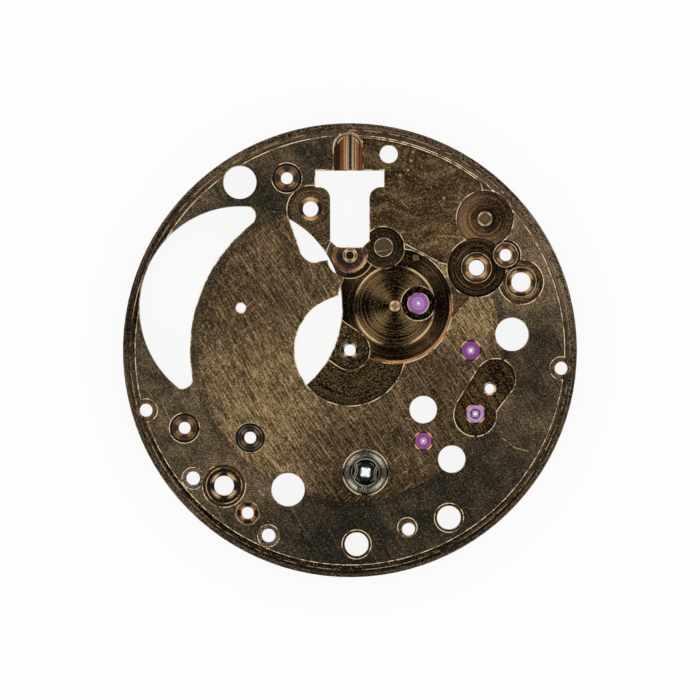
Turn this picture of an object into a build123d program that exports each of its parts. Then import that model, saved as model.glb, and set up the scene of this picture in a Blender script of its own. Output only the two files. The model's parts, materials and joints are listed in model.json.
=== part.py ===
"""Main plate of a small hand-wound watch movement, with the pieces that are pressed into it.

Millimetres. +Z is the dial side and +Y points to the winding stem. The origin is the centre of the
plate on its bridge side, which lies at z = 0. Places are shares of the plate's radius, and depths
are measured from the face that they are cut into.
"""
import os
from math import atan2, cos, hypot, radians, sin

from build123d import *

os.makedirs("parts", exist_ok=True)

# Plate body
plate_radius = 10.15
plate_height = 1.70
casing_step = 0.17
casing_height = 1.02
flange_width = 0.56
seat_bevel = 0.03
rim_groove_width = 0.19
rim_groove_depth = 0.26
flange_drop = 0.11
edge_chamfer = 0.04
centre_relief_radius = 6.80
centre_relief_depth = 0.02
overrun = 0.40

# Places of holes and pieces, as shares of the plate's radius
place_shares = {
    "centre": (0.0, 0.0),
    "barrel": (-0.4805, 0.1866),
    "third_wheel": (0.3015, 0.2064),
    "fourth_wheel": (0.5323, -0.0015),
    "escape_wheel": (0.5525, -0.2802),
    "pallet_fork": (0.3231, -0.4000),
    "balance": (0.0690, -0.5382),
    "top_left_bush": (-0.2779, 0.7581),
    "left_bush": (-0.7284, -0.3427),
    "centre_left_bush": (-0.4395, -0.3859),
    "small_bush": (-0.4506, -0.7174),
    "right_tube": (0.7542, 0.3002),
    "left_tube": (-0.5545, -0.5972),
    "minute_post": (0.1981, 0.1949),
    "setting_post": (0.5950, 0.5785),
    "yoke_post": (0.1486, 0.4536),
    "clutch_post": (0.0004, 0.4177),
    "left_foot": (-0.8984, -0.2648),
    "right_foot": (0.9312, -0.0798),
    "top_pillar_hole": (-0.4849, 0.7396),
    "right_pillar_hole": (0.7141, 0.0699),
    "bottom_pillar_hole": (-0.2727, -0.6144),
    "pallet_cock_hole": (0.3231, -0.2617),
    "balance_cock_hole": (0.4486, -0.4801),
    "lower_right_clamp_hole": (0.4363, -0.7381),
    "bottom_clamp_hole": (0.0294, -0.8553),
    "setting_screw_hole": (0.1712, 0.8638),
    "end_piece_hole": (0.6155, -0.1697),
    "bottom_pin_hole": (0.2584, -0.7892),
    "bottom_pin_sink": (0.2531, -0.7804),
    "lever_hole": (-0.1736, 0.6225),
    "left_pin_hole": (-0.6910, -0.5646),
    "lower_pin_hole": (-0.3585, -0.8170),
    "lever_head": (-0.1714, 0.6194),
    "lever_tail": (-0.1560, 0.4508),
    "end_piece_top": (0.6428, -0.1247),
    "end_piece_foot": (0.5517, -0.2855),
}

# Plain holes
pillar_hole_radius = 0.745
cock_hole_radius = 0.610
clamp_hole_radius = 0.530
clamp_sink_radius = 0.632
clamp_sink_depth = 0.16
setting_screw_hole_radius = 0.405
barrel_arbor_hole_radius = 0.215
end_piece_hole_radius = 0.215
end_piece_hole_sink = 0.075
lever_hole_radius = 0.345
lever_hole_sink = 0.180
pin_hole_radius = 0.305
pin_sink_radius = 0.470
pin_sink_depth = 0.45
bottom_pin_hole_radius = 0.280
bottom_pin_sink_radius = 0.416
bottom_pin_sink_depth = 0.30
foot_hole_radius = 0.290
foot_sink_radius = 0.495
foot_sink_depth = 0.30
foot_screw_bore_radius = 0.16
foot_screw_height = 0.62

# Winding stem: T-shaped cut-out, open groove and bore through the rim
cutout_width = 3.084
cutout_bar_height = 0.746
cutout_slot_width = 1.756
cutout_post_gap = 0.027
cutout_top_share = 0.7921
cutout_centre_share = -0.0005
cutout_shoulder_radius = 0.510
cutout_corner = 0.300
stem_centre_share = -0.0076
stem_height = 0.85
stem_groove_radius = 0.650
stem_groove_end_share = 0.9600
stem_bore_radius = 0.420

# Bridge side
barrel_web = 0.305
barrel_floor = 0.38
barrel_seat_radius = 0.90
barrel_seat_depth = 0.10
balance_rim_web = 0.542
balance_pocket_depth = 0.50
train_pocket_radius = 2.45
train_pocket_depth = 0.34
centre_pocket_radius = 3.10
escape_pocket_radius = 1.62
escape_pocket_depth = 0.86
fourth_pocket_radius = 1.35
fourth_pocket_depth = 0.98

# Crescent opening beside the barrel
crescent_clearance = 0.018
crescent_width = 2.622
crescent_end_radius = 0.440

# Dial side recesses
centre_recess_radius = 2.480
centre_recess_depth = 0.44
centre_slot_half_width = 0.876
centre_slot_reach = 1.250
centre_slot_angle = 145.5
centre_slot_depth = 0.74
minute_recess_radius = 2.570
minute_recess_depth = 0.58
minute_well_radius = 1.820
minute_well_wall = 0.085
minute_well_depth = 0.70
third_sink_radius = 0.760
third_sink_depth = 0.92
clutch_recess_radius = 1.028
clutch_recess_depth = 0.56
clutch_well_radius = 0.760
clutch_well_depth = 0.72
yoke_recess_radius = 0.907
yoke_recess_depth = 0.60
setting_recess_radius = 1.265
setting_recess_depth = 0.50
setting_well_radius = 0.780
setting_well_depth = 0.58
pipe_recess_radius = 1.314
pipe_recess_depth = 0.56
pipe_well_radius = 0.940
pipe_well_depth = 0.62
lever_recess_depth = 0.46
lever_head_radius = 1.064
lever_tail_radius = 0.644
keyless_recess_depth = 0.26
keyless_rim_wall = 0.09
passage_depth = 0.30
end_piece_recess_depth = 0.24
end_piece_top_radius = 0.876
end_piece_foot_radius = 0.939
keyless_outline_shares = [
    (0.056, 1.060), (0.397, 1.060), (0.548, 0.786), (0.579, 0.718), (0.594, 0.580),
    (0.558, 0.388), (0.428, 0.380), (0.398, 0.387), (0.236, 0.475), (0.148, 0.454), (0.056, 0.454),
]
passage_outline_shares = [(0.449, 0.144), (0.526, 0.232), (0.546, 0.309), (0.463, 0.296), (0.397, 0.221)]
lever_outline_shares = [
    (-0.171, 0.7236), (-0.044, 0.7236), (-0.044, 0.419), (-0.103, 0.396), (-0.156, 0.3874),
    (-0.156, 0.451), (-0.171, 0.619),
]
end_piece_outline_shares = [(0.568, -0.076), (0.465, -0.244), (0.644, -0.268), (0.719, -0.169)]

# Jewels
third_jewel_radius = 0.450
fourth_jewel_radius = 0.411
escape_jewel_radius = 0.393
pallet_jewel_radius = 0.371
jewel_height = 0.30
jewel_sink = 0.03
jewel_seat_bevel = 0.065
jewel_cup_radius = 0.200
jewel_cup_depth = 0.070
jewel_cup_bulge_share = 0.33
escape_cup_radius = 0.226
pivot_hole_radius = 0.055

# Bridge screw bushes: a flanged bush in a counterbore
bush_flange_radius = 0.612
bush_shank_radius = 0.500
bush_bore_radius = 0.268
bush_dish_radius = 0.450
bush_dish_depth = 0.10
bush_throat_radius = 0.350
bush_throat_depth = 0.24
bush_flange_height = 0.34
bush_drop = 0.05
bush_gap = 0.050
bush_sink_bevel = 0.035

# Locating tubes, the small bush and the centre bush
right_tube_radius = 0.751
right_tube_bore_radius = 0.434
right_tube_sink_radius = 0.985
right_bush_angle = 119.6
right_bush_gap = 0.030
left_tube_radius = 0.640
left_tube_bore_radius = 0.443
left_tube_sink_radius = 0.945
left_tube_ledge_radius = 0.775
tube_sink_depth = 0.16
tube_ledge_depth = 0.34
tube_shank_wall = 0.130
tube_mouth_bevel = 0.140
small_bush_radius = 0.530
small_bush_bore_radius = 0.268
small_bush_mouth_bevel = 0.160
centre_bush_radius = 0.400
centre_bush_bore_radius = 0.255
centre_bush_mouth_bevel = 0.060
centre_bush_rise = 0.06

# Posts
post_bevel = 0.05
spigot_share = 0.70
spigot_length = 0.30
minute_post_radius = 0.255
minute_post_rise = 0.50
minute_post_dimple_radius = 0.130
minute_post_dimple_depth = 0.05
setting_post_radius = 0.335
setting_post_rise = 0.42
setting_post_dimple_radius = 0.200
setting_post_dimple_depth = 0.03
yoke_post_radius = 0.4335
yoke_post_rise = 0.40
yoke_flat_offset = 0.170
yoke_flat_depth = 0.16
yoke_flat_angle = 10.4
clutch_post_radius = 0.345
clutch_post_bore_radius = 0.185
clutch_post_bore_depth = 0.35
clutch_post_rise = 0.46
stop_stud_radius = 0.155
stop_stud_rise = 0.40
stop_stud_angle = 66.5
stop_stud_gap = 0.051
wheel_pipe_radius = 0.697
wheel_pipe_bore_radius = 0.349
wheel_pipe_mouth_bevel = 0.170
wheel_pipe_rise = 0.46
wheel_pipe_shank_radius = 0.480
wheel_pipe_angle = 203.7
wheel_pipe_gap = 0.117

# Shock setting of the balance
shock_turn = -7.0
block_radius = 0.985
block_height = 1.16
block_drop = 0.04
block_seat_bevel = 0.060
block_edge_bevel = 0.03
bowl_radius = 0.680
ledge_radius = 0.585
ledge_depth = 0.14
bowl_floor_radius = 0.400
bowl_depth = 0.46
block_hole_radius = 0.180
star_lobe_radius = 0.080
star_lobe_offset = 0.180
hinge_slot_width = 0.560
hinge_slot_end = 0.950
hinge_slot_depth = 0.24
side_pocket_radius = 0.725
side_pocket_width = 0.480
side_pocket_depth = 0.30
lip_notch_width = 0.440
lip_notch_depth = 0.07
spring_radius = 0.645
spring_wire = 0.060
spring_thickness = 0.05
arm_radius = 0.620
arm_offset = 1.040
arm_width = 0.110
leg_width = 0.210
leg_slot_width = 0.080
hinge_radius = 0.895
hinge_bar_length = 0.500
hinge_bar_width = 0.070

# Radii of the plate's steps
casing_radius = plate_radius - casing_step
dial_seat_radius = plate_radius - flange_width
groove_inner_radius = dial_seat_radius + seat_bevel
groove_outer_radius = groove_inner_radius + rim_groove_width

# Places in millimetres
place = {name: (plate_radius * x, plate_radius * y) for name, (x, y) in place_shares.items()}


def beside(name, angle, distance):
    """The place that lies at this angle and distance from a named one."""
    x, y = place[name]
    return x + distance * cos(radians(angle)), y + distance * sin(radians(angle))


# Pieces that stand close to a neighbour or to a wall are placed from it
right_bush_distance = right_tube_radius + bush_flange_radius + right_bush_gap
place["right_bush"] = beside("right_tube", right_bush_angle, right_bush_distance)
wheel_pipe_distance = bush_flange_radius + wheel_pipe_radius + wheel_pipe_gap
place["wheel_pipe"] = beside("right_bush", wheel_pipe_angle, wheel_pipe_distance)
stop_stud_distance = minute_recess_radius - stop_stud_radius - stop_stud_gap
place["stop_stud"] = beside("minute_post", stop_stud_angle, stop_stud_distance)

# Pockets that keep a web to the centre bush and to the rim
barrel_distance = hypot(*place["barrel"])
barrel_pocket_radius = barrel_distance - centre_bush_radius - barrel_web
balance_pocket_radius = casing_radius - hypot(*place["balance"]) - balance_rim_web
crescent_outer_radius = barrel_pocket_radius + crescent_clearance
crescent_inner_radius = barrel_distance + crescent_outer_radius - crescent_width


def dial_face(depth=0):
    """The plane that lies this deep under the dial face."""
    return Plane.XY.offset(plate_height - depth)


def scaled(outline_shares):
    """The points of an outline that is given as shares of the plate's radius."""
    return [(plate_radius * x, plate_radius * y) for x, y in outline_shares]


def circles(names, radius):
    """One circle at each named place, in the sketch that is open."""
    with Locations(*[place[name] for name in names]):
        Circle(radius)


def sink(names, radius, depth):
    """Cut round recesses from the dial face."""
    with BuildSketch(dial_face()) as outline:
        circles(names, radius)
    extrude(outline.sketch, amount=-depth, mode=Mode.SUBTRACT)


def pocket(names, radius, depth):
    """Cut round pockets from the bridge side."""
    with BuildSketch(Plane.XY) as outline:
        circles(names, radius)
    extrude(outline.sketch, amount=depth, mode=Mode.SUBTRACT)


def bore(names, radius):
    """Drill round holes right through the plate."""
    with BuildSketch(Plane.XY.offset(-overrun)) as outline:
        circles(names, radius)
    extrude(outline.sketch, amount=plate_height + 2 * overrun, mode=Mode.SUBTRACT)


def bevel(name, radius, width, depth=0):
    """Break the mouth of a hole with a 45 degree cone that opens to the dial side."""
    with BuildSketch(dial_face(depth + width)) as throat:
        circles([name], radius)
    with BuildSketch(dial_face(depth)) as mouth:
        circles([name], radius + width)
    loft([throat.sketch, mouth.sketch], mode=Mode.SUBTRACT)


def turned(name, outline):
    """Turn a piece about the upright axis of a place, from points given as (radius, height)."""
    x, y = place[name]
    with BuildSketch(Plane((x, y, 0), x_dir=(1, 0, 0), z_dir=(0, -1, 0))) as profile:
        with BuildLine():
            Polyline(*outline, close=True)
        make_face()
    revolve(profile.sketch, axis=Axis((x, y, 0), (0, 0, 1)))


def shock_plane(height):
    """A level plane on the balance axis, turned as the shock setting is turned in the plate."""
    x, y = place["balance"]
    turn = radians(shock_turn)
    return Plane((x, y, height), x_dir=(cos(turn), sin(turn), 0), z_dir=(0, 0, 1))


# Heights of the floors that pieces stand on
minute_well_floor = plate_height - minute_well_depth
third_sink_floor = plate_height - third_sink_depth
setting_well_floor = plate_height - setting_well_depth
yoke_recess_floor = plate_height - yoke_recess_depth
clutch_well_floor = plate_height - clutch_well_depth
minute_recess_floor = plate_height - minute_recess_depth
pipe_well_floor = plate_height - pipe_well_depth
end_piece_floor = plate_height - end_piece_recess_depth
centre_slot_floor = plate_height - centre_slot_depth
block_top = plate_height - block_drop
block_bottom = block_top - block_height

screw_bushes = ["top_left_bush", "left_bush", "centre_left_bush", "right_bush"]
flange_sink_depth = bush_drop + bush_flange_height

# The posts: place, radius, height of the floor and rise above it
solid_posts = {
    "minute_wheel_post": ("minute_post", minute_post_radius, minute_well_floor, minute_post_rise),
    "setting_wheel_post": ("setting_post", setting_post_radius, setting_well_floor, setting_post_rise),
    "yoke_post": ("yoke_post", yoke_post_radius, yoke_recess_floor, yoke_post_rise),
    "clutch_lever_post": ("clutch_post", clutch_post_radius, clutch_well_floor, clutch_post_rise),
    "stop_stud": ("stop_stud", stop_stud_radius, minute_recess_floor, stop_stud_rise),
}

# Main plate
flange_top = plate_height - flange_drop
with BuildPart() as main_plate:
    with BuildSketch(Plane.XZ):
        with BuildLine():
            Polyline(
                (0, 0),
                (casing_radius - edge_chamfer, 0),
                (casing_radius, edge_chamfer),
                (casing_radius, casing_height),
                (plate_radius, casing_height),
                (plate_radius, flange_top - edge_chamfer),
                (plate_radius - edge_chamfer, flange_top),
                (groove_outer_radius, flange_top),
                (groove_outer_radius, plate_height - rim_groove_depth),
                (groove_inner_radius, plate_height - rim_groove_depth),
                (groove_inner_radius, plate_height - seat_bevel),
                (dial_seat_radius, plate_height),
                (centre_relief_radius, plate_height),
                (centre_relief_radius - centre_relief_depth, plate_height - centre_relief_depth),
                (0, plate_height - centre_relief_depth),
                close=True,
            )
        make_face()
    revolve(axis=Axis.Z)

    # Pockets of the bridge side
    pocket(["barrel"], barrel_pocket_radius, plate_height - barrel_floor)
    pocket(["barrel"], barrel_seat_radius, plate_height - barrel_floor + barrel_seat_depth)
    pocket(["balance"], balance_pocket_radius, balance_pocket_depth)
    pocket(["third_wheel"], train_pocket_radius, train_pocket_depth)
    pocket(["centre"], centre_pocket_radius, train_pocket_depth)
    pocket(["escape_wheel"], escape_pocket_radius, escape_pocket_depth)
    pocket(["fourth_wheel"], fourth_pocket_radius, fourth_pocket_depth)

    # Dial side, shallow recesses first
    with BuildSketch(dial_face()):
        Polygon(*scaled(keyless_outline_shares), align=None)
        Circle(dial_seat_radius - keyless_rim_wall, mode=Mode.INTERSECT)
    extrude(amount=-keyless_recess_depth, mode=Mode.SUBTRACT)
    with BuildSketch(dial_face()):
        Polygon(*scaled(end_piece_outline_shares), align=None)
        circles(["end_piece_top"], end_piece_top_radius)
        circles(["end_piece_foot"], end_piece_foot_radius)
    extrude(amount=-end_piece_recess_depth, mode=Mode.SUBTRACT)
    with BuildSketch(dial_face()):
        Polygon(*scaled(passage_outline_shares), align=None)
    extrude(amount=-passage_depth, mode=Mode.SUBTRACT)
    sink(["centre"], centre_recess_radius, centre_recess_depth)
    with BuildSketch(dial_face()):
        Polygon(*scaled(lever_outline_shares), align=None)
        with BuildSketch(mode=Mode.PRIVATE) as lever_ends:
            circles(["lever_head"], lever_head_radius)
            circles(["lever_tail"], lever_tail_radius)
            make_hull()
        add(lever_ends.sketch)
    extrude(amount=-lever_recess_depth, mode=Mode.SUBTRACT)
    sink(["setting_post"], setting_recess_radius, setting_recess_depth)
    sink(["setting_post"], setting_well_radius, setting_well_depth)
    sink(["wheel_pipe"], pipe_recess_radius, pipe_recess_depth)
    sink(["wheel_pipe"], pipe_well_radius, pipe_well_depth)
    sink(["clutch_post"], clutch_recess_radius, clutch_recess_depth)
    sink(["clutch_post"], clutch_well_radius, clutch_well_depth)
    sink(["yoke_post"], yoke_recess_radius, yoke_recess_depth)
    sink(["minute_post"], minute_recess_radius, minute_recess_depth)
    with BuildSketch(dial_face(minute_recess_depth)):
        circles(["minute_post"], minute_well_radius)
    with BuildSketch(dial_face(minute_well_depth)):
        circles(["minute_post"], minute_well_radius - minute_well_wall)
    loft(mode=Mode.SUBTRACT)
    slot_angle = radians(centre_slot_angle)
    slot_middle = (centre_slot_reach / 2 * cos(slot_angle), centre_slot_reach / 2 * sin(slot_angle))
    with BuildSketch(dial_face()):
        with Locations(slot_middle):
            SlotCenterToCenter(centre_slot_reach, 2 * centre_slot_half_width, rotation=centre_slot_angle)
    extrude(amount=-centre_slot_depth, mode=Mode.SUBTRACT)
    sink(["third_wheel"], third_sink_radius, third_sink_depth)

    # Crescent opening
    with BuildSketch(Plane.XY.offset(-overrun)) as crescent:
        circles(["barrel"], crescent_outer_radius)
        Circle(crescent_inner_radius, mode=Mode.SUBTRACT)
        fillet(crescent.vertices(), crescent_end_radius)
    extrude(amount=plate_height + 2 * overrun, mode=Mode.SUBTRACT)

    # T-shaped cut-out for the winding and sliding pinions
    cutout_x = plate_radius * cutout_centre_share
    cutout_top = plate_radius * cutout_top_share
    cutout_height = cutout_top - place["clutch_post"][1] - clutch_post_radius - cutout_post_gap
    with BuildSketch(Plane.XY.offset(-overrun)) as cutout:
        with Locations((cutout_x, cutout_top)):
            Rectangle(cutout_width, cutout_bar_height, align=(Align.CENTER, Align.MAX))
            Rectangle(cutout_slot_width, cutout_height, align=(Align.CENTER, Align.MAX))
        shoulders = cutout.vertices().filter_by(
            lambda v: abs(abs(v.X - cutout_x) - cutout_slot_width / 2) < edge_chamfer
            and v.Y > cutout_top - cutout_height / 2
        )
        fillet(shoulders, cutout_shoulder_radius)
        chamfer(cutout.vertices().group_by(Axis.Y)[0], cutout_corner)
    extrude(amount=plate_height + 2 * overrun, mode=Mode.SUBTRACT)

    # Stem groove with a ball end, and the stem bore through the rim
    stem_x = plate_radius * stem_centre_share
    groove_end = plate_radius * stem_groove_end_share
    groove_length = groove_end - stem_groove_radius - cutout_top + edge_chamfer
    with BuildSketch(Plane.XY.offset(stem_height)):
        with Locations((stem_x, groove_end - stem_groove_radius)):
            Circle(stem_groove_radius)
            Rectangle(2 * stem_groove_radius, groove_length, align=(Align.CENTER, Align.MAX))
    extrude(amount=plate_height - stem_height + overrun, mode=Mode.SUBTRACT)
    with BuildSketch(Plane.XZ.offset(-(cutout_top - edge_chamfer))):
        with Locations((stem_x, stem_height)):
            Circle(stem_groove_radius)
    extrude(amount=-groove_length, mode=Mode.SUBTRACT)
    with Locations((stem_x, groove_end - stem_groove_radius, stem_height)):
        Sphere(stem_groove_radius, mode=Mode.SUBTRACT)
    with BuildSketch(Plane.XZ.offset(-(groove_end - stem_groove_radius))):
        with Locations((stem_x, stem_height)):
            Circle(stem_bore_radius)
    extrude(amount=-(plate_radius - groove_end + stem_groove_radius + overrun), mode=Mode.SUBTRACT)

    # Plain holes and their sinks
    bore(["top_pillar_hole", "right_pillar_hole", "bottom_pillar_hole"], pillar_hole_radius)
    bore(["pallet_cock_hole", "balance_cock_hole"], cock_hole_radius)
    bore(["lower_right_clamp_hole", "bottom_clamp_hole"], clamp_hole_radius)
    sink(["lower_right_clamp_hole", "bottom_clamp_hole"], clamp_sink_radius, clamp_sink_depth)
    bore(["setting_screw_hole"], setting_screw_hole_radius)
    bore(["barrel"], barrel_arbor_hole_radius)
    bore(["end_piece_hole"], end_piece_hole_radius)
    bevel("end_piece_hole", end_piece_hole_radius, end_piece_hole_sink, end_piece_recess_depth)
    bore(["lever_hole"], lever_hole_radius)
    bevel("lever_hole", lever_hole_radius, lever_hole_sink, lever_recess_depth)
    sink(["left_pin_hole", "lower_pin_hole"], pin_sink_radius, pin_sink_depth)
    bore(["left_pin_hole", "lower_pin_hole"], pin_hole_radius)
    sink(["bottom_pin_sink"], bottom_pin_sink_radius, bottom_pin_sink_depth)
    bore(["bottom_pin_hole"], bottom_pin_hole_radius)
    for name in ("left_foot", "right_foot"):
        bore([name], foot_hole_radius)
        sink([name], foot_sink_radius, foot_sink_depth)
        x, y = place[name]
        foot_angle = atan2(y, x)
        outward = (cos(foot_angle), sin(foot_angle), 0)
        with BuildSketch(Plane((x, y, foot_screw_height), z_dir=outward)):
            Circle(foot_screw_bore_radius)
        extrude(amount=plate_radius - hypot(x, y), mode=Mode.SUBTRACT)

    # Seats of the pressed pieces
    bore(["third_wheel"], third_jewel_radius)
    for name, radius, depth in (
        ("fourth_wheel", fourth_jewel_radius, centre_relief_depth),
        ("escape_wheel", escape_jewel_radius, end_piece_recess_depth),
        ("pallet_fork", pallet_jewel_radius, centre_relief_depth),
    ):
        bore([name], radius)
        bevel(name, radius, jewel_seat_bevel, depth)
    bore(screw_bushes, bush_shank_radius)
    sink(screw_bushes, bush_flange_radius + bush_gap, flange_sink_depth)
    for name in screw_bushes:
        bevel(name, bush_flange_radius + bush_gap, bush_sink_bevel)
    bore(["small_bush"], small_bush_radius)
    bore(["centre"], centre_bush_radius)
    sink(["right_tube"], right_tube_sink_radius, tube_sink_depth)
    sink(["left_tube"], left_tube_sink_radius, tube_sink_depth)
    sink(["left_tube"], left_tube_ledge_radius, tube_ledge_depth)
    sink(["right_tube"], right_tube_radius, tube_ledge_depth)
    bore(["right_tube"], right_tube_bore_radius + tube_shank_wall)
    bore(["left_tube"], left_tube_bore_radius + tube_shank_wall)
    bore(["wheel_pipe"], wheel_pipe_shank_radius)
    for post_place, radius, floor, rise in solid_posts.values():
        with BuildSketch(Plane.XY.offset(floor - spigot_length)):
            circles([post_place], radius * spigot_share)
        extrude(amount=spigot_length, mode=Mode.SUBTRACT)
    bore(["balance"], block_radius)
    bevel("balance", block_radius, block_seat_bevel, centre_relief_depth)
main_plate.part.label = "main_plate"
export_step(main_plate.part, "parts/main_plate.step")

# Jewels: radius, height of the top face and radius of the oil cup
jewels = {
    "third_wheel": (third_jewel_radius, third_sink_floor - jewel_sink, jewel_cup_radius),
    "fourth_wheel": (fourth_jewel_radius, plate_height - centre_relief_depth - jewel_sink, jewel_cup_radius),
    "escape_wheel": (escape_jewel_radius, end_piece_floor - jewel_sink, escape_cup_radius),
    "pallet_fork": (pallet_jewel_radius, plate_height - centre_relief_depth - jewel_sink, jewel_cup_radius),
}
for name, (radius, top, cup_radius) in jewels.items():
    with BuildPart() as jewel:
        x, y = place[name]
        cup_floor = top - jewel_cup_depth
        with BuildSketch(Plane((x, y, 0), x_dir=(1, 0, 0), z_dir=(0, -1, 0))):
            with BuildLine():
                Polyline((pivot_hole_radius, cup_floor), (pivot_hole_radius, top - jewel_height))
                Line((pivot_hole_radius, top - jewel_height), (radius, top - jewel_height))
                Polyline((radius, top - jewel_height), (radius, top), (cup_radius, top))
                SagittaArc(
                    (cup_radius, top),
                    (pivot_hole_radius, cup_floor),
                    jewel_cup_bulge_share * jewel_cup_depth,
                )
            make_face()
        revolve(axis=Axis((x, y, 0), (0, 0, 1)))
    jewel.part.label = f"jewel_{name}"
    export_step(jewel.part, f"parts/jewel_{name}.step")

# Bridge screw bushes, all alike
bush_top = plate_height - bush_drop
bush_profile = [
    (bush_bore_radius, 0),
    (bush_shank_radius, 0),
    (bush_shank_radius, bush_top - bush_flange_height),
    (bush_flange_radius, bush_top - bush_flange_height),
    (bush_flange_radius, bush_top),
    (bush_dish_radius, bush_top),
    (bush_dish_radius, bush_top - bush_dish_depth),
    (bush_throat_radius, bush_top - bush_dish_depth),
    (bush_bore_radius, bush_top - bush_throat_depth),
]
for name in screw_bushes:
    with BuildPart() as screw_bush:
        turned(name, bush_profile)
    label = "bridge_screw_bush_" + name.removesuffix("_bush")
    screw_bush.part.label = label
    export_step(screw_bush.part, f"parts/{label}.step")

# Locating tubes: the right one fills its counterbore, the left one stands free in a wider one
tubes = {
    "right": (right_tube_radius, right_tube_bore_radius),
    "left": (left_tube_radius, left_tube_bore_radius),
}
tube_seat = plate_height - tube_ledge_depth
tube_top = plate_height - tube_sink_depth / 2
for side, (radius, bore_radius) in tubes.items():
    with BuildPart() as locating_tube:
        turned(
            f"{side}_tube",
            [
                (bore_radius, 0),
                (bore_radius + tube_shank_wall, 0),
                (bore_radius + tube_shank_wall, tube_seat),
                (radius, tube_seat),
                (radius, tube_top),
                (bore_radius + tube_mouth_bevel, tube_top),
                (bore_radius, tube_top - tube_mouth_bevel),
            ],
        )
    locating_tube.part.label = f"locating_tube_{side}"
    export_step(locating_tube.part, f"parts/locating_tube_{side}.step")

# Small bush at the lower left
with BuildPart() as small_bush:
    turned(
        "small_bush",
        [
            (small_bush_bore_radius, 0),
            (small_bush_radius, 0),
            (small_bush_radius, plate_height - bush_drop),
            (small_bush_bore_radius + small_bush_mouth_bevel, plate_height - bush_drop),
            (small_bush_bore_radius, plate_height - bush_drop - small_bush_mouth_bevel),
        ],
    )
small_bush.part.label = "small_screw_bush"
export_step(small_bush.part, "parts/small_screw_bush.step")

# Centre wheel bush
centre_bush_top = centre_slot_floor + centre_bush_rise
with BuildPart() as centre_bush:
    turned(
        "centre",
        [
            (centre_bush_bore_radius, train_pocket_depth),
            (centre_bush_radius, train_pocket_depth),
            (centre_bush_radius, centre_bush_top),
            (centre_bush_bore_radius + centre_bush_mouth_bevel, centre_bush_top),
            (centre_bush_bore_radius, centre_bush_top - centre_bush_mouth_bevel),
        ],
    )
centre_bush.part.label = "centre_wheel_bush"
export_step(centre_bush.part, "parts/centre_wheel_bush.step")

# Pipe on which an intermediate wheel turns
with BuildPart() as wheel_pipe:
    pipe_top = pipe_well_floor + wheel_pipe_rise
    turned(
        "wheel_pipe",
        [
            (wheel_pipe_bore_radius, 0),
            (wheel_pipe_shank_radius, 0),
            (wheel_pipe_shank_radius, pipe_well_floor),
            (wheel_pipe_radius, pipe_well_floor),
            (wheel_pipe_radius, pipe_top),
            (wheel_pipe_bore_radius + wheel_pipe_mouth_bevel, pipe_top),
            (wheel_pipe_bore_radius, pipe_top - wheel_pipe_mouth_bevel),
        ],
    )
wheel_pipe.part.label = "intermediate_wheel_pipe"
export_step(wheel_pipe.part, "parts/intermediate_wheel_pipe.step")

# Posts, each with a spigot pressed into the floor that it stands on
dimples = {
    "minute_wheel_post": (minute_post_dimple_radius, minute_post_dimple_depth),
    "setting_wheel_post": (setting_post_dimple_radius, setting_post_dimple_depth),
    "clutch_lever_post": (clutch_post_bore_radius, clutch_post_bore_depth),
}
for label, (post_place, radius, floor, rise) in solid_posts.items():
    with BuildPart() as post:
        turned(
            post_place,
            [
                (0, floor - spigot_length),
                (radius * spigot_share, floor - spigot_length),
                (radius * spigot_share, floor),
                (radius, floor),
                (radius, floor + rise - post_bevel),
                (radius - post_bevel, floor + rise),
                (0, floor + rise),
            ],
        )
        if label in dimples:
            dimple_radius, dimple_depth = dimples[label]
            with BuildSketch(Plane.XY.offset(floor + rise)):
                circles([post_place], dimple_radius)
            extrude(amount=-dimple_depth, mode=Mode.SUBTRACT)
        if label == "yoke_post":
            x, y = place[post_place]
            turn = radians(yoke_flat_angle)
            with BuildSketch(Plane((x, y, floor + rise), x_dir=(cos(turn), sin(turn), 0), z_dir=(0, 0, 1))):
                with Locations((0, -yoke_flat_offset)):
                    Rectangle(2 * radius, radius, align=(Align.CENTER, Align.MAX))
            extrude(amount=-yoke_flat_depth, mode=Mode.SUBTRACT)
    post.part.label = label
    export_step(post.part, f"parts/{label}.step")

# Shock block: a turned cup, milled for the spring's hinge, arms and lip
ledge_height = block_top - ledge_depth
bowl_floor = block_top - bowl_depth
with BuildPart() as shock_block:
    turned(
        "balance",
        [
            (0, block_bottom),
            (block_radius, block_bottom),
            (block_radius, block_top - block_edge_bevel),
            (block_radius - block_edge_bevel, block_top),
            (bowl_radius, block_top),
            (bowl_radius, ledge_height),
            (ledge_radius, ledge_height),
            (bowl_floor_radius, bowl_floor),
            (0, bowl_floor),
        ],
    )
    with BuildSketch(shock_plane(block_bottom)):
        Circle(block_hole_radius)
        with PolarLocations(star_lobe_offset, 4, start_angle=45):
            Circle(star_lobe_radius)
    extrude(amount=block_height, mode=Mode.SUBTRACT)
    with BuildSketch(shock_plane(block_top)):
        with Locations((0, -hinge_slot_end)):
            Rectangle(hinge_slot_width, hinge_slot_end - ledge_radius, align=(Align.CENTER, Align.MIN))
    extrude(amount=-hinge_slot_depth, mode=Mode.SUBTRACT)
    with BuildSketch(shock_plane(block_top)):
        Circle(side_pocket_radius)
        Rectangle(2 * block_radius, side_pocket_width, mode=Mode.INTERSECT)
        Circle(bowl_radius - spring_wire / 2, mode=Mode.SUBTRACT)
    extrude(amount=-side_pocket_depth, mode=Mode.SUBTRACT)
    with BuildSketch(shock_plane(block_top)):
        with Locations((0, bowl_radius)):
            Rectangle(lip_notch_width, block_radius, align=(Align.CENTER, Align.MIN))
    extrude(amount=-lip_notch_depth, mode=Mode.SUBTRACT)
shock_block.part.label = "shock_block"
export_step(shock_block.part, "parts/shock_block.step")

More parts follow.
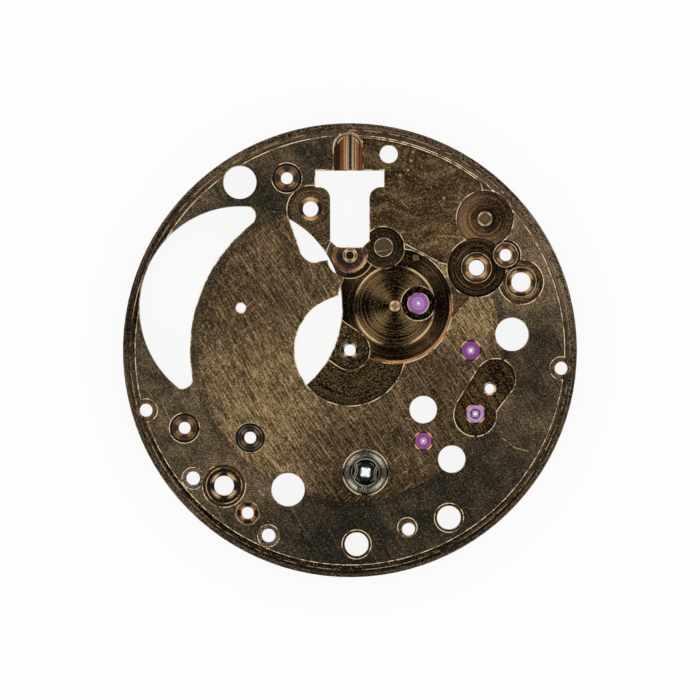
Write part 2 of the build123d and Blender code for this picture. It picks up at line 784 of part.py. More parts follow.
# Lyre spring: a ring that is drawn in at both sides, with a leg and a hinge bar
with BuildPart() as lyre_spring:
    with BuildSketch(shock_plane(ledge_height)):
        Circle(spring_radius)
        Circle(spring_radius - spring_wire, mode=Mode.SUBTRACT)
        for side in (-1, 1):
            with Locations((side * arm_offset, 0)):
                Circle(arm_radius + arm_width / 2, mode=Mode.SUBTRACT)
        with BuildSketch(mode=Mode.PRIVATE) as arms:
            for side in (-1, 1):
                with Locations((side * arm_offset, 0)):
                    Circle(arm_radius + arm_width / 2)
                    Circle(arm_radius - arm_width / 2, mode=Mode.SUBTRACT)
            Circle(spring_radius, mode=Mode.INTERSECT)
        add(arms.sketch)
        with Locations((0, -hinge_radius)):
            Rectangle(leg_width, hinge_radius - spring_radius + spring_wire, align=(Align.CENTER, Align.MIN))
            Rectangle(hinge_bar_length, hinge_bar_width)
        with Locations((0, -hinge_radius + hinge_bar_width / 2)):
            Rectangle(
                leg_slot_width,
                hinge_radius - spring_radius - hinge_bar_width / 2,
                align=(Align.CENTER, Align.MIN),
                mode=Mode.SUBTRACT,
            )
    extrude(amount=spring_thickness)
lyre_spring.part.label = "lyre_spring"
export_step(lyre_spring.part, "parts/lyre_spring.step")
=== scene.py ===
"""Studio picture of a watch main plate, seen straight on from the dial side.

Metres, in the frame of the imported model: +Z is the dial side and +Y points to the winding stem.
Values that end in _mm are millimetres, and shader coordinates are millimetres too.
"""

import json
from math import cos, hypot, pi, radians, sin

import bmesh
import bpy
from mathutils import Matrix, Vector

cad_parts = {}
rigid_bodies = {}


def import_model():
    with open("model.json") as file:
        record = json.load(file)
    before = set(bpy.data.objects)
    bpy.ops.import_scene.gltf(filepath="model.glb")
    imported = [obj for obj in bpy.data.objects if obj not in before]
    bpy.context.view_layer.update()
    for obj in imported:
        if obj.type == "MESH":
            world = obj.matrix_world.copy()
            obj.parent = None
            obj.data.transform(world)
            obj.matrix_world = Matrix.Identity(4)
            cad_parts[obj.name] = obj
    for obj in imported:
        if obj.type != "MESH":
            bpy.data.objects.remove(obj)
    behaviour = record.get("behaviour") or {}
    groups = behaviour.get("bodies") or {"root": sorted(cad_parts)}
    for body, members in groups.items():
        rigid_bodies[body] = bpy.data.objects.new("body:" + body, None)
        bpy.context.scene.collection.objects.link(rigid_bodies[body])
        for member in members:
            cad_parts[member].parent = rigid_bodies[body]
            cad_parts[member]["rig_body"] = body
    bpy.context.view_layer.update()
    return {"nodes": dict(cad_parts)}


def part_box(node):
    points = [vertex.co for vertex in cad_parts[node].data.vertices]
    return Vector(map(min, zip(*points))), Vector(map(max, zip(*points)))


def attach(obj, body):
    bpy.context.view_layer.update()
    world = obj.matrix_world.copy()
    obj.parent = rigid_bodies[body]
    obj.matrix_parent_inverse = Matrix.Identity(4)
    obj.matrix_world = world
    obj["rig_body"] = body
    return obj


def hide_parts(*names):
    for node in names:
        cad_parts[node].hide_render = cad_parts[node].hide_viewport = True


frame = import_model()

MM = 0.001
weld_distance = 1e-7
smooth_angle = radians(35)

# Framing of the photograph: its width at the height of the dial face, and the plate's place in it
picture_width = 31.286 * MM
picture_centre = (0.0036 * MM, 0.0076 * MM)
camera_height = 600 * MM
sensor_width_mm = 36

# Lamps, the room's light and the table under the plate
lamp_distance = 150 * MM
lamp_side = 70 * MM
lamp_height_angle = radians(32)
lamp_power = 0.030
table_half_side = 1.5
table_drop = 0.01 * MM
table_glow = 0.9
table_grey = (0.9, 0.9, 0.9, 1.0)
room_grey = (0.72, 0.72, 0.72, 1.0)

# Heights of the plate's faces and of the shock block's top
dial_face_mm = 1.70
centre_disc_mm = 1.68
flange_mm = 1.59
keyless_floor_mm = 1.44
passage_floor_mm = 1.40
end_piece_floor_mm = 1.46
lever_floor_mm = 1.24
pin_sink_mm = 1.25
tube_sinks_mm = (1.54, 1.36)
minute_well_top_mm = 1.13
block_top_mm = 1.66

# A height below the whole plate, and how far a face may lie from its own height
beneath_plate_mm = -1.0
height_slack_mm = 0.008

# Radii about the plate's axis, and how far a face may lie from one
centre_disc_radius_mm = 6.80
foot_from_mm = 8.5
rim_shoulder_from_mm = 9.36
rim_line_from_mm = 9.50
groove_inner_mm = 9.60
rim_from_mm = 9.70
groove_outer_mm = 9.82
rim_wall_from_mm = 9.94
past_rim_mm = 10.5
radius_slack_mm = 0.1

# The stem's groove, the minute wheel's well and other places that the frame doesn't name
stem_x_mm = -0.077
stem_end_y_mm = 9.08
stem_groove_radius_mm = 0.66
stem_groove_from_mm = 7.99
stem_groove_to_mm = 9.76
minute_well_radius_mm = 1.82
minute_well_slack_mm = 0.12
lever_head_mm = (-1.740, 6.287)
bowl_radius_mm = 0.70
seat_reach_mm = 0.56
tube_sink_reach_mm = 0.98
balance_seat_reach_mm = 1.15

# Widths of the broken edges
plate_edge_mm = 0.040
hole_edge_mm = 0.022
bush_edge_mm = 0.014
post_edge_mm = 0.024
spring_edge_mm = 0.020
fine_edge_mm = 0.012

# Which edges are broken: how sharp they are, how level and how upright their faces, how high the walls
sharp_from = radians(50)
level_share = 0.9
upright_share = 0.3
lowest_wall_in_widths = 1.5
deep_wall_mm = 1.0


def middle_mm(node):
    """Where a round piece stands, in millimetres, from its box."""
    low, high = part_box(node)
    centre = (low + high) / 2 / MM
    return centre.x, centre.y


minute_centre = middle_mm("minute_wheel_post")
setting_centre = middle_mm("setting_wheel_post")
yoke_centre = middle_mm("yoke_post")
clutch_centre = middle_mm("clutch_lever_post")
pipe_centre = middle_mm("intermediate_wheel_pipe")
third_centre = middle_mm("jewel_third_wheel")
balance_centre = middle_mm("shock_block")
tube_centres = [middle_mm("locating_tube_left"), middle_mm("locating_tube_right")]
seat_centres = [middle_mm(node) for node in frame["nodes"] if node.startswith("jewel_")]

# Turned floors: centre, reach and the heights at which they lie, the upper one first
turned_floors = {
    "minute_floor": (minute_centre, 2.62, (1.12, 1.00)),
    "setting_floor": (setting_centre, 1.30, (1.20, 1.12)),
    "pipe_floor": (pipe_centre, 1.36, (1.14, 1.08)),
    "clutch_floor": (clutch_centre, 1.08, (1.14, 0.98)),
    "yoke_floor": (yoke_centre, 0.95, (1.10,)),
    "centre_floor": ((0.0, 0.0), 2.55, (1.26, 0.96)),
    "third_floor": (third_centre, 0.80, (0.78,)),
}

# Where the edges of the openings are painted dull, without the bright edge highlight, as (x from, x to, y
# from, y to, lowest z)
# in millimetres: round the crescent, the two inner openings and the stem's cut-out
dull_stretches = [
    (-past_rim_mm, -3.4, -1.2, past_rim_mm, beneath_plate_mm),
    (-past_rim_mm, 0.0, -2.0, 6.0, flange_mm),
    (stem_x_mm - 1.7, stem_x_mm + 1.7, 4.5, 8.1, keyless_floor_mm - height_slack_mm),
]

# Angles of the brushing, and of the band of painted sheen that lies across it
stroke_angle = radians(60)
crossed_angle = radians(55)
rubbed_angle = radians(-42)
rising_angle = radians(-50)
falling_angle = radians(40)
sheen_angle = radians(28)
sheen_offset_mm = 0.4
sheen_half_width_mm = 0.8
sheen_reach_mm = 4.6

# Grain of the plating, of the bright edges, rubbed and painted as highlights, of the walls and of the small
# pieces
grain_mm = 0.05
edge_grain_mm = 0.08
wall_grain_mm = 0.09
piece_grain_mm = 0.06

# Rings and stripes: how softly one passes into the next, and how far they stray from true
half_blend_mm = 0.010
stray_mm = 0.012

# Painted light and shade over the plating, in broad light and dark areas, as (x, y, reach, weight) in
# millimetres
painted_light_areas = [
    (2.1, 7.6, 3.4, -0.20), (-6.4, 8.1, 2.4, 0.20), (-5.2, 6.6, 2.2, -0.26), (8.6, 4.4, 4.2, 0.22),
    (-3.4, 5.0, 3.2, 0.12), (5.2, 1.7, 2.6, 0.22), (3.2, -0.8, 3.6, -0.30), (8.0, -0.6, 3.2, -0.26),
    (-0.4, -2.4, 2.6, -0.12), (-3.4, -5.0, 3.4, 0.16), (-0.4, -8.6, 4.6, -0.50), (-7.8, -4.0, 3.0, -0.12),
    (6.4, -5.2, 3.6, -0.22), (-9.6, 2.0, 3.6, -0.20), (-4.8, -0.6, 3.0, 0.20), (4.8, -8.0, 4.0, -0.32),
    (-3.6, 6.9, 1.8, -0.36), (-5.2, -8.0, 2.6, -0.20), (-2.6, -6.2, 1.8, 0.12), (3.8, -6.6, 2.4, -0.16),
    (-1.4, 8.8, 1.8, -0.24), (7.0, -2.8, 1.8, 0.14), (0.4, -5.2, 3.0, -0.30),
]

# Long scratches of three faces, as (from, to, half width) in millimetres
disc_scratches = [
    ((-3.66, -4.75), (-3.02, -5.40), 0.10), ((-4.9, 1.9), (-3.9, 0.1), 0.03),
    ((1.9, -3.3), (3.0, -3.0), 0.025), ((-3.1, -1.2), (-2.3, -2.9), 0.03), ((4.0, 0.6), (5.6, 1.8), 0.025),
    ((-5.6, -1.1), (-4.9, -2.4), 0.03), ((0.9, -5.9), (2.6, -5.4), 0.025), ((-2.0, 4.4), (-1.6, 3.2), 0.03),
]
keyless_scratches = [
    ((3.94, 5.15), (5.0, 5.05), 0.03), ((4.70, 7.30), (5.0, 6.90), 0.02), ((2.28, 6.72), (2.56, 6.32), 0.03),
]
ring_scratches = [
    ((6.85, -3.95), (7.35, -4.35), 0.04), ((7.35, -4.35), (7.95, -4.52), 0.035),
    ((-4.15, -6.15), (-3.75, -6.65), 0.04), ((-8.4, -2.3), (-7.7, -3.9), 0.02),
]

# Punched dots of the keyless recess: their places, bright core and reach
punched_dots = [(2.82, 8.86), (2.73, 8.46), (2.60, 8.05), (2.24, 7.83), (1.34, 5.28), (4.20, 6.80)]
punched_dot_core_mm = 0.03
punched_dot_reach_mm = 0.08


# Shader building


def put(tree, kind, values=None, out=0, **settings):
    """Add a node, set or link its inputs, and give back one of its outputs."""
    made = tree.nodes.new(kind)
    for name, value in settings.items():
        setattr(made, name, value)
    for index, value in (values or {}).items():
        if isinstance(value, bpy.types.NodeSocket):
            tree.links.new(value, made.inputs[index])
        else:
            made.inputs[index].default_value = value
    return made.outputs[out]


def sums(tree, operation, a, b=0.0, clamp=False):
    """Arithmetic on two numbers, at least one of them a socket."""
    return put(tree, "ShaderNodeMath", {0: a, 1: b}, operation=operation, use_clamp=clamp)


def times(tree, a, b, clamp=False):
    """One number times another."""
    return sums(tree, "MULTIPLY", a, b, clamp)


def vector_sum(tree, operation, a, b):
    """Arithmetic on two vectors."""
    return put(tree, "ShaderNodeVectorMath", {0: a, 1: b}, operation=operation)


def dot(tree, a, b):
    """How far one vector goes along another."""
    return put(tree, "ShaderNodeVectorMath", {0: a, 1: b}, out="Value", operation="DOT_PRODUCT")


def distance(tree, a, b):
    """How far two places lie apart."""
    return put(tree, "ShaderNodeVectorMath", {0: a, 1: b}, out="Value", operation="DISTANCE")


def flattened(tree, where):
    """A vector without its height."""
    return vector_sum(tree, "MULTIPLY", where, (1.0, 1.0, 0.0))


def heading(tree, arm):
    """Which way a flat vector points, and how far that is towards one of the four corners."""
    way = put(tree, "ShaderNodeVectorMath", {0: arm}, operation="NORMALIZE")
    axes = put(tree, "ShaderNodeSeparateXYZ", {0: way}).node.outputs
    sine = times(tree, times(tree, axes[0], axes[1]), 2.0)
    return way, times(tree, sine, sine)


def spread(tree, value, low, high, to_low=0.0, to_high=1.0):
    """A value stretched from one range to another, and held inside it."""
    return put(tree, "ShaderNodeMapRange", {0: value, 1: low, 2: high, 3: to_low, 4: to_high})


def faded(tree, apart, near, far, full=1.0):
    """A value that is full up to a near distance, and falls smoothly to nothing at a far one."""
    values = {0: apart, 1: near, 2: far, 3: full, 4: 0.0}
    return put(tree, "ShaderNodeMapRange", values, interpolation_type="SMOOTHSTEP")


def blend_colour(tree, share, a, b):
    """Two colours mixed by a share of the second."""
    return put(tree, "ShaderNodeMix", {0: share, 6: a, 7: b}, out=2, data_type="RGBA")


def place_in_mm(tree):
    """Where the shaded point lies on its own piece, in millimetres."""
    coordinates = put(tree, "ShaderNodeTexCoord", out="Object")
    return put(tree, "ShaderNodeVectorMath", {0: coordinates, 3: 1 / MM}, operation="SCALE")


def noise(tree, where, scale=1.0, detail=1.0, roughness=0.5):
    """A noise value over a vector."""
    values = {"Vector": where, "Scale": scale, "Detail": detail, "Roughness": roughness}
    return put(tree, "ShaderNodeTexNoise", values)


def new_group(name, inputs, outputs, kind="NodeSocketFloat"):
    """A shader node group with named inputs, as (name, kind, value), and named outputs of one kind."""
    tree = bpy.data.node_groups.new(name, "ShaderNodeTree")
    for label, input_kind, value in inputs:
        socket = tree.interface.new_socket(label, in_out="INPUT", socket_type=input_kind)
        socket.default_value = value
    for label in outputs:
        tree.interface.new_socket(label, in_out="OUTPUT", socket_type=kind)
    return tree, tree.nodes.new("NodeGroupInput").outputs, tree.nodes.new("NodeGroupOutput").inputs


def place_group(tree, group, **values):
    """Put a node group into a material with its own values, and give back its outputs."""
    made = tree.nodes.new("ShaderNodeGroup")
    made.node_tree = group
    for name, value in values.items():
        socket = made.inputs[name.replace("_", " ")]
        if isinstance(value, bpy.types.NodeSocket):
            tree.links.new(value, socket)
        else:
            socket.default_value = value
    return made.outputs


number, vector, tint = "NodeSocketFloat", "NodeSocketVector", "NodeSocketColor"


def srgb(red, green, blue):
    """A colour given as it looks on a screen, 0 to 255, as the linear colour that shaders take."""
    linear = []
    for value in (red, green, blue):
        share = value / 255
        linear.append(share / 12.92 if share <= 0.04045 else ((share + 0.055) / 1.055) ** 2.4)
    return (*linear, 1.0)


# Near black: soot in the grain, and the colour of painted shade
soot_and_shade = srgb(12, 9, 7)
umber = srgb(40, 28, 17)
brown = srgb(88, 60, 35)
copper = srgb(172, 110, 62)
pale_copper = srgb(168, 120, 80)
gold = srgb(214, 168, 108)
cream = srgb(255, 232, 190)
pale_line = srgb(226, 196, 150)
white = (1.0, 1.0, 1.0, 1.0)


def make_grain_group():
    """Fine speckle, broad mottling and sparse bright pits of an aged plated face."""
    tree, given, result = new_group(
        "aged grain", [("Grain", number, 0.05), ("Patch", number, 0.8)], ["Speckle", "Mottle", "Pits"]
    )
    where = place_in_mm(tree)
    fine = noise(tree, where, sums(tree, "DIVIDE", 1.0, given["Grain"]))
    coarse = noise(tree, where, sums(tree, "DIVIDE", 0.4, given["Grain"]))
    both = sums(tree, "ADD", times(tree, fine, 0.78), times(tree, coarse, 0.22))
    tree.links.new(spread(tree, both, 0.36, 0.66), result["Speckle"])
    patch = noise(tree, where, sums(tree, "DIVIDE", 1.0, given["Patch"]), 3.0, 0.55)
    tree.links.new(spread(tree, patch, 0.34, 0.66), result["Mottle"])
    pits = noise(tree, where, sums(tree, "DIVIDE", 0.75, given["Grain"]))
    tree.links.new(spread(tree, pits, 0.62, 0.70), result["Pits"])
    return tree


def make_brush_group():
    """Brush strokes in one direction, and sparse hairline scratches along them."""
    tree, given, result = new_group(
        "brush strokes",
        [("Angle", number, 0.0), ("Spacing", number, 0.10), ("Length", number, 1.2)],
        ["Strokes", "Hairlines"],
    )
    turned = put(
        tree, "ShaderNodeVectorRotate", {"Vector": place_in_mm(tree), "Angle": given["Angle"]},
        rotation_type="Z_AXIS",
    )
    along = sums(tree, "DIVIDE", 1.0, given["Length"])
    across = sums(tree, "DIVIDE", 1.0, given["Spacing"])
    stretch = put(tree, "ShaderNodeCombineXYZ", {0: along, 1: across, 2: 1.0})
    lanes = vector_sum(tree, "MULTIPLY", turned, stretch)
    tree.links.new(spread(tree, noise(tree, lanes), 0.36, 0.64), result["Strokes"])
    thin = vector_sum(tree, "MULTIPLY", lanes, (0.6, 1.5, 1.0))
    tree.links.new(spread(tree, noise(tree, thin), 0.65, 0.74), result["Hairlines"])
    return tree


def make_turned_group():
    """Concentric tool marks about a centre, with what a material needs to follow them."""
    tree, given, result = new_group(
        "turned marks",
        [("Centre", vector, (0.0, 0.0, 0.0)), ("Pitch", number, 0.12), ("Lit side", vector, (0.0, 1.0, 0.0))],
        ["Rings", "Radius", "Corners", "Facing"],
    )
    arm = flattened(tree, vector_sum(tree, "SUBTRACT", place_in_mm(tree), given["Centre"]))
    radius = put(tree, "ShaderNodeVectorMath", {0: arm}, out="Value", operation="LENGTH")
    lane = put(tree, "ShaderNodeCombineXYZ", {2: sums(tree, "DIVIDE", radius, given["Pitch"])})
    drift = vector_sum(tree, "MULTIPLY", arm, (0.2, 0.2, 0.0))
    marks = noise(tree, vector_sum(tree, "ADD", drift, lane), 1.0, 3.0, 0.7)
    tree.links.new(spread(tree, marks, 0.38, 0.62), result["Rings"])
    tree.links.new(radius, result["Radius"])
    facing, corners = heading(tree, arm)
    tree.links.new(corners, result["Corners"])
    tree.links.new(dot(tree, facing, given["Lit side"]), result["Facing"])
    return tree


def make_shading_group():
    """Painted shade in corners and at the foot of walls, darker where less of the room is seen."""
    tree, given, result = new_group("corner dirt", [("Reach", number, 0.2)], ["Dirt"])
    reach = times(tree, given["Reach"], MM)
    open_share = put(tree, "ShaderNodeAmbientOcclusion", {"Distance": reach}, out="AO", samples=8)
    tree.links.new(spread(tree, open_share, 0.45, 0.95, 1.0, 0.0), result["Dirt"])
    return tree


def make_band_group():
    """A soft band about a middle radius."""
    tree, given, result = new_group(
        "radius band",
        [("Radius", number, 0.0), ("Middle", number, 1.0), ("Half width", number, 0.1),
         ("Soft", number, 0.02)],
        ["Band"],
    )
    apart = sums(tree, "ABSOLUTE", sums(tree, "SUBTRACT", given["Radius"], given["Middle"]))
    past = sums(tree, "DIVIDE", sums(tree, "SUBTRACT", apart, given["Half width"]), given["Soft"])
    tree.links.new(sums(tree, "SUBTRACT", 1.0, past, clamp=True), result["Band"])
    return tree


def make_painted_sheen_group():
    """A broad band of painted sheen across the plate, the highlight that its brushing catches."""
    tree, _, result = new_group("broad sheen", [], ["Sheen"])
    off = dot(tree, place_in_mm(tree), (-sin(sheen_angle), cos(sheen_angle), 0.0))
    apart = sums(tree, "ABSOLUTE", sums(tree, "ADD", off, sheen_offset_mm))
    tree.links.new(faded(tree, apart, sheen_half_width_mm, sheen_reach_mm), result["Sheen"])
    return tree


def make_painted_light_group():
    """Broad painted light and shade over the plating, the same over all its faces."""
    tree, _, result = new_group("broad tarnish", [], ["Tarnish"])
    flat = flattened(tree, place_in_mm(tree))
    total = 0.0
    for x, y, reach, weight in painted_light_areas:
        area = faded(tree, distance(tree, flat, (x, y, 0.0)), 0.0, reach, weight)
        total = sums(tree, "ADD", area, total)
    tree.links.new(total, result["Tarnish"])
    return tree


def make_scratch_group():
    """One long scratch between two points, thin and a little broken."""
    tree, given, result = new_group(
        "long scratch",
        [("From", vector, (0.0, 0.0, 0.0)), ("To", vector, (1.0, 0.0, 0.0)), ("Half width", number, 0.02)],
        ["Scratch"],
    )
    flat = flattened(tree, place_in_mm(tree))
    way = vector_sum(tree, "SUBTRACT", given["To"], given["From"])
    arm = vector_sum(tree, "SUBTRACT", flat, given["From"])
    share = sums(tree, "DIVIDE", dot(tree, arm, way), dot(tree, way, way), clamp=True)
    foot = put(tree, "ShaderNodeVectorMath", {0: way, 3: share}, operation="SCALE")
    off = sums(tree, "DIVIDE", distance(tree, arm, foot), given["Half width"])
    near = sums(tree, "SUBTRACT", 1.0, off, clamp=True)
    broken = spread(tree, noise(tree, flat, 3.0), 0.35, 0.5)
    tree.links.new(times(tree, near, broken), result["Scratch"])
    return tree


def make_slope_group():
    """How far a sloped edge leans to one of the four corners, and how far up or down the picture."""
    tree, _, result = new_group("edge facing", [], ["Corners", "Upright"])
    leaning = tree.nodes.new("ShaderNodeNewGeometry").outputs["Normal"]
    facing, corners = heading(tree, flattened(tree, leaning))
    tree.links.new(corners, result["Corners"])
    upright = dot(tree, facing, (0.0, 1.0, 0.0))
    tree.links.new(times(tree, upright, upright), result["Upright"])
    return tree


def make_plating_group():
    """Plating from its dark to its light tone, with bright specks over it and painted shade in its corners.
    """
    tree, given, result = new_group(
        "plating colour",
        [("Share", number, 0.5), ("Dark", tint, umber), ("Light", tint, gold), ("Specks", number, 0.0),
         ("Speck colour", tint, gold), ("Dirt", number, 0.0)],
        ["Colour"], tint,
    )
    base = blend_colour(tree, given["Share"], given["Dark"], given["Light"])
    bright = blend_colour(tree, given["Specks"], base, given["Speck colour"])
    # Painted shade in the corners, blended towards near black
    tree.links.new(blend_colour(tree, given["Dirt"], bright, soot_and_shade), result["Colour"])
    return tree


grain_group = make_grain_group()
brush_group = make_brush_group()
turned_group = make_turned_group()
shading_group = make_shading_group()
band_group = make_band_group()
painted_sheen_group = make_painted_sheen_group()
painted_light_group = make_painted_light_group()
scratch_group = make_scratch_group()
slope_group = make_slope_group()
plating_group = make_plating_group()


# Shares and masks that several finishes use


def age_marks(tree, patch, grain=grain_mm):
    """The speckle, the mottling and the pits of an aged face."""
    return place_group(tree, grain_group, Grain=grain, Patch=patch)


def weigh(tree, *parts, level=0.0):
    """A level and values, each times its weight, added up and held between 0 and 1."""
    total = level
    for value, weight in parts:
        total = sums(tree, "ADD", times(tree, value, weight), total)
    return sums(tree, "ADD", total, 0.0, clamp=True)


def with_painted_light(tree, share, depth):
    """A share of the light tone, raised or lowered by the broad painted light and shade."""
    painted_light = place_group(tree, painted_light_group)["Tarnish"]
    factor = sums(tree, "POWER", 2.0, times(tree, painted_light, depth))
    return times(tree, share, factor, clamp=True)


def marked(tree, level, depth, *marks):
    """A share of the light tone round a level, which marks and the broad painted light and shade double or
    halve.
    """
    painted_light = place_group(tree, painted_light_group)["Tarnish"]
    doublings = times(tree, painted_light, depth)
    for value, weight in marks:
        centred = sums(tree, "SUBTRACT", value, 0.5)
        doublings = sums(tree, "ADD", times(tree, centred, weight), doublings)
    factor = sums(tree, "POWER", 2.0, doublings)
    return times(tree, factor, level, clamp=True)


def corner_shading(tree, reach, weight):
    """The painted shade in a piece's corners, times a weight."""
    return times(tree, place_group(tree, shading_group, Reach=reach)["Dirt"], weight)


def ring_mask(tree, radius, middle, half_width, soft=0.02):
    """A soft ring about a middle radius."""
    return place_group(
        tree, band_group, Radius=radius, Middle=middle, Half_width=half_width, Soft=soft
    )["Band"]


def scratched(tree, scratches):
    """All the long scratches of a face as one mask."""
    total = 0.0
    for start, finish, half_width in scratches:
        mask = place_group(
            tree, scratch_group, From=(*start, 0.0), To=(*finish, 0.0), Half_width=half_width
        )["Scratch"]
        total = sums(tree, "MAXIMUM", mask, total)
    return total


def wobbled(tree, distance_mm, mask):
    """A distance made a little uneven by a mask, for stripes and rings that aren't quite true."""
    return sums(tree, "ADD", distance_mm, spread(tree, mask, 0.0, 1.0, -stray_mm, stray_mm))


def stepped_ramp(tree, value, stops):
    """A colour ramp over a value, from bands given as (where it ends, colour), with narrow blends between."""
    start, end = stops[0][0], stops[-1][0]
    banded = put(tree, "ShaderNodeValToRGB", {0: spread(tree, value, start, end)})
    ramp = banded.node.color_ramp
    ramp.elements[0].color = stops[0][1]
    ramp.elements[1].position = 1.0
    ramp.elements[1].color = stops[-1][1]
    for (edge, colour), (_, after) in zip(stops[:-1], stops[1:]):
        for place, shade in ((edge - half_blend_mm, colour), (edge + half_blend_mm, after)):
            position = (place - start) / (end - start)
            if 0.0 < position < 1.0:
                ramp.elements.new(position).color = shade
    return banded


# Finishes


def new_material(name):
    """A material with its Principled BSDF, as the material, its tree and the shader."""
    material = bpy.data.materials.new(name)
    material.use_nodes = True
    tree = material.node_tree
    return material, tree, tree.nodes["Principled BSDF"]


def finish_metal(tree, shader, colour, roughness, height=None, bump_mm=0.004, metallic=1.0):
    """Give a metal its colour, its roughness and, where there is one, its relief."""
    tree.links.new(colour, shader.inputs["Base Color"])
    shader.inputs["Roughness"].default_value = roughness
    shader.inputs["Metallic"].default_value = metallic
    if height is not None:
        relief = {"Height": height, "Distance": bump_mm * MM, "Strength": 0.5}
        tree.links.new(put(tree, "ShaderNodeBump", relief), shader.inputs["Normal"])


def plated_face(name, dark, light, strokes=0.3, patch=0.9, shading=0.6, level=0.0):
    """Aged dark plating with a speckled grain, brush strokes and painted shade in its corners."""
    material, tree, shader = new_material(name)
    aged = age_marks(tree, patch)
    brushed = place_group(tree, brush_group, Angle=stroke_angle, Spacing=0.12, Length=1.6)
    share = weigh(
        tree, (aged["Speckle"], 0.9 - strokes), (brushed["Strokes"], strokes), (aged["Mottle"], 0.2),
        level=level - 0.14,
    )
    share = with_painted_light(tree, share, 2.2)
    # The colour takes painted shade in its corners
    colour = place_group(
        tree, plating_group, Share=share, Dark=dark, Light=light, Speck_colour=srgb(190, 154, 108),
        Specks=weigh(tree, (brushed["Hairlines"], 0.35), (aged["Pits"], 0.5)),
        Dirt=corner_shading(tree, 0.16, shading),
    )["Colour"]
    finish_metal(tree, shader, colour, 0.42, share)
    return material


def centre_disc_face():
    """The brushed disc in the middle of the dial side."""
    material, tree, shader = new_material("centre disc plating")
    aged = age_marks(tree, 1.2)
    brushed = place_group(tree, brush_group, Angle=stroke_angle, Spacing=0.038, Length=0.45)
    crossed = place_group(tree, brush_group, Angle=crossed_angle, Spacing=0.06, Length=1.2)
    rubbed = place_group(tree, brush_group, Angle=rubbed_angle, Spacing=0.045, Length=0.5)
    turned = place_group(tree, turned_group, Pitch=0.10)
    sheen = place_group(tree, painted_sheen_group)["Sheen"]
    rubbed_patches = times(tree, rubbed["Strokes"], aged["Mottle"])
    rim = ring_mask(tree, turned["Radius"], centre_disc_radius_mm, 0.10, 0.5)
    # The painted sheen lightens a band across the disc
    share = marked(
        tree, 0.185, 3.0, (aged["Speckle"], 2.9), (brushed["Strokes"], 2.4), (crossed["Strokes"], 0.9),
        (rubbed_patches, 1.0), (aged["Mottle"], 0.3), (sheen, 0.94),
        (times(tree, rim, turned["Rings"]), -0.7),
    )
    hairlines = sums(tree, "MAXIMUM", rubbed["Hairlines"], crossed["Hairlines"])
    marks = sums(tree, "MAXIMUM", scratched(tree, disc_scratches), times(tree, hairlines, 0.6))
    # The colour takes painted shade in its corners
    colour = place_group(
        tree, plating_group, Share=share, Dark=srgb(18, 13, 8), Light=srgb(194, 163, 118),
        Speck_colour=srgb(210, 172, 124), Specks=weigh(tree, (marks, 0.8), (aged["Pits"], 0.35)),
        Dirt=corner_shading(tree, 0.12, 0.5),
    )["Colour"]
    finish_metal(tree, shader, colour, 0.40, share)
    return material


def outer_ring_face():
    """The raised ring that the dial lies on, with fine lines turned round its inner edge."""
    material, tree, shader = new_material("outer ring plating")
    aged = age_marks(tree, 0.9)
    brushed = place_group(tree, brush_group, Angle=stroke_angle, Spacing=0.10, Length=2.2)
    turned = place_group(tree, turned_group, Pitch=0.065)
    sheen = place_group(tree, painted_sheen_group)["Sheen"]
    inner = ring_mask(tree, turned["Radius"], centre_disc_radius_mm, 0.2, 0.15)
    # The painted sheen lightens a band across the ring
    share = marked(
        tree, 0.165, 3.5, (aged["Speckle"], 3.6), (brushed["Strokes"], 0.5), (aged["Mottle"], 1.2),
        (sheen, 0.55), (times(tree, inner, turned["Rings"]), -0.9),
    )
    # Painted light and shade: the light tone turns warmer where it is brighter, and the specks fade where it
    # is darker
    painted_light = place_group(tree, painted_light_group)["Tarnish"]
    tone = sums(tree, "ADD", painted_light, times(tree, aged["Mottle"], 0.5))
    light = blend_colour(tree, spread(tree, tone, -0.4, 0.3), srgb(150, 144, 120), srgb(172, 146, 112))
    hairlines = times(tree, brushed["Hairlines"], 0.15)
    marks = sums(tree, "MAXIMUM", scratched(tree, ring_scratches), hairlines)
    specks = weigh(tree, (marks, 0.9), (aged["Pits"], 0.30))
    dulled = times(tree, specks, spread(tree, painted_light, -0.6, 0.0, 0.45, 1.0))
    # The colour takes painted shade in its corners
    colour = place_group(
        tree, plating_group, Share=share, Dark=srgb(12, 12, 9), Light=light,
        Speck_colour=srgb(206, 176, 134), Specks=dulled, Dirt=corner_shading(tree, 0.14, 0.5),
    )["Colour"]
    finish_metal(tree, shader, colour, 0.45, share)
    return material


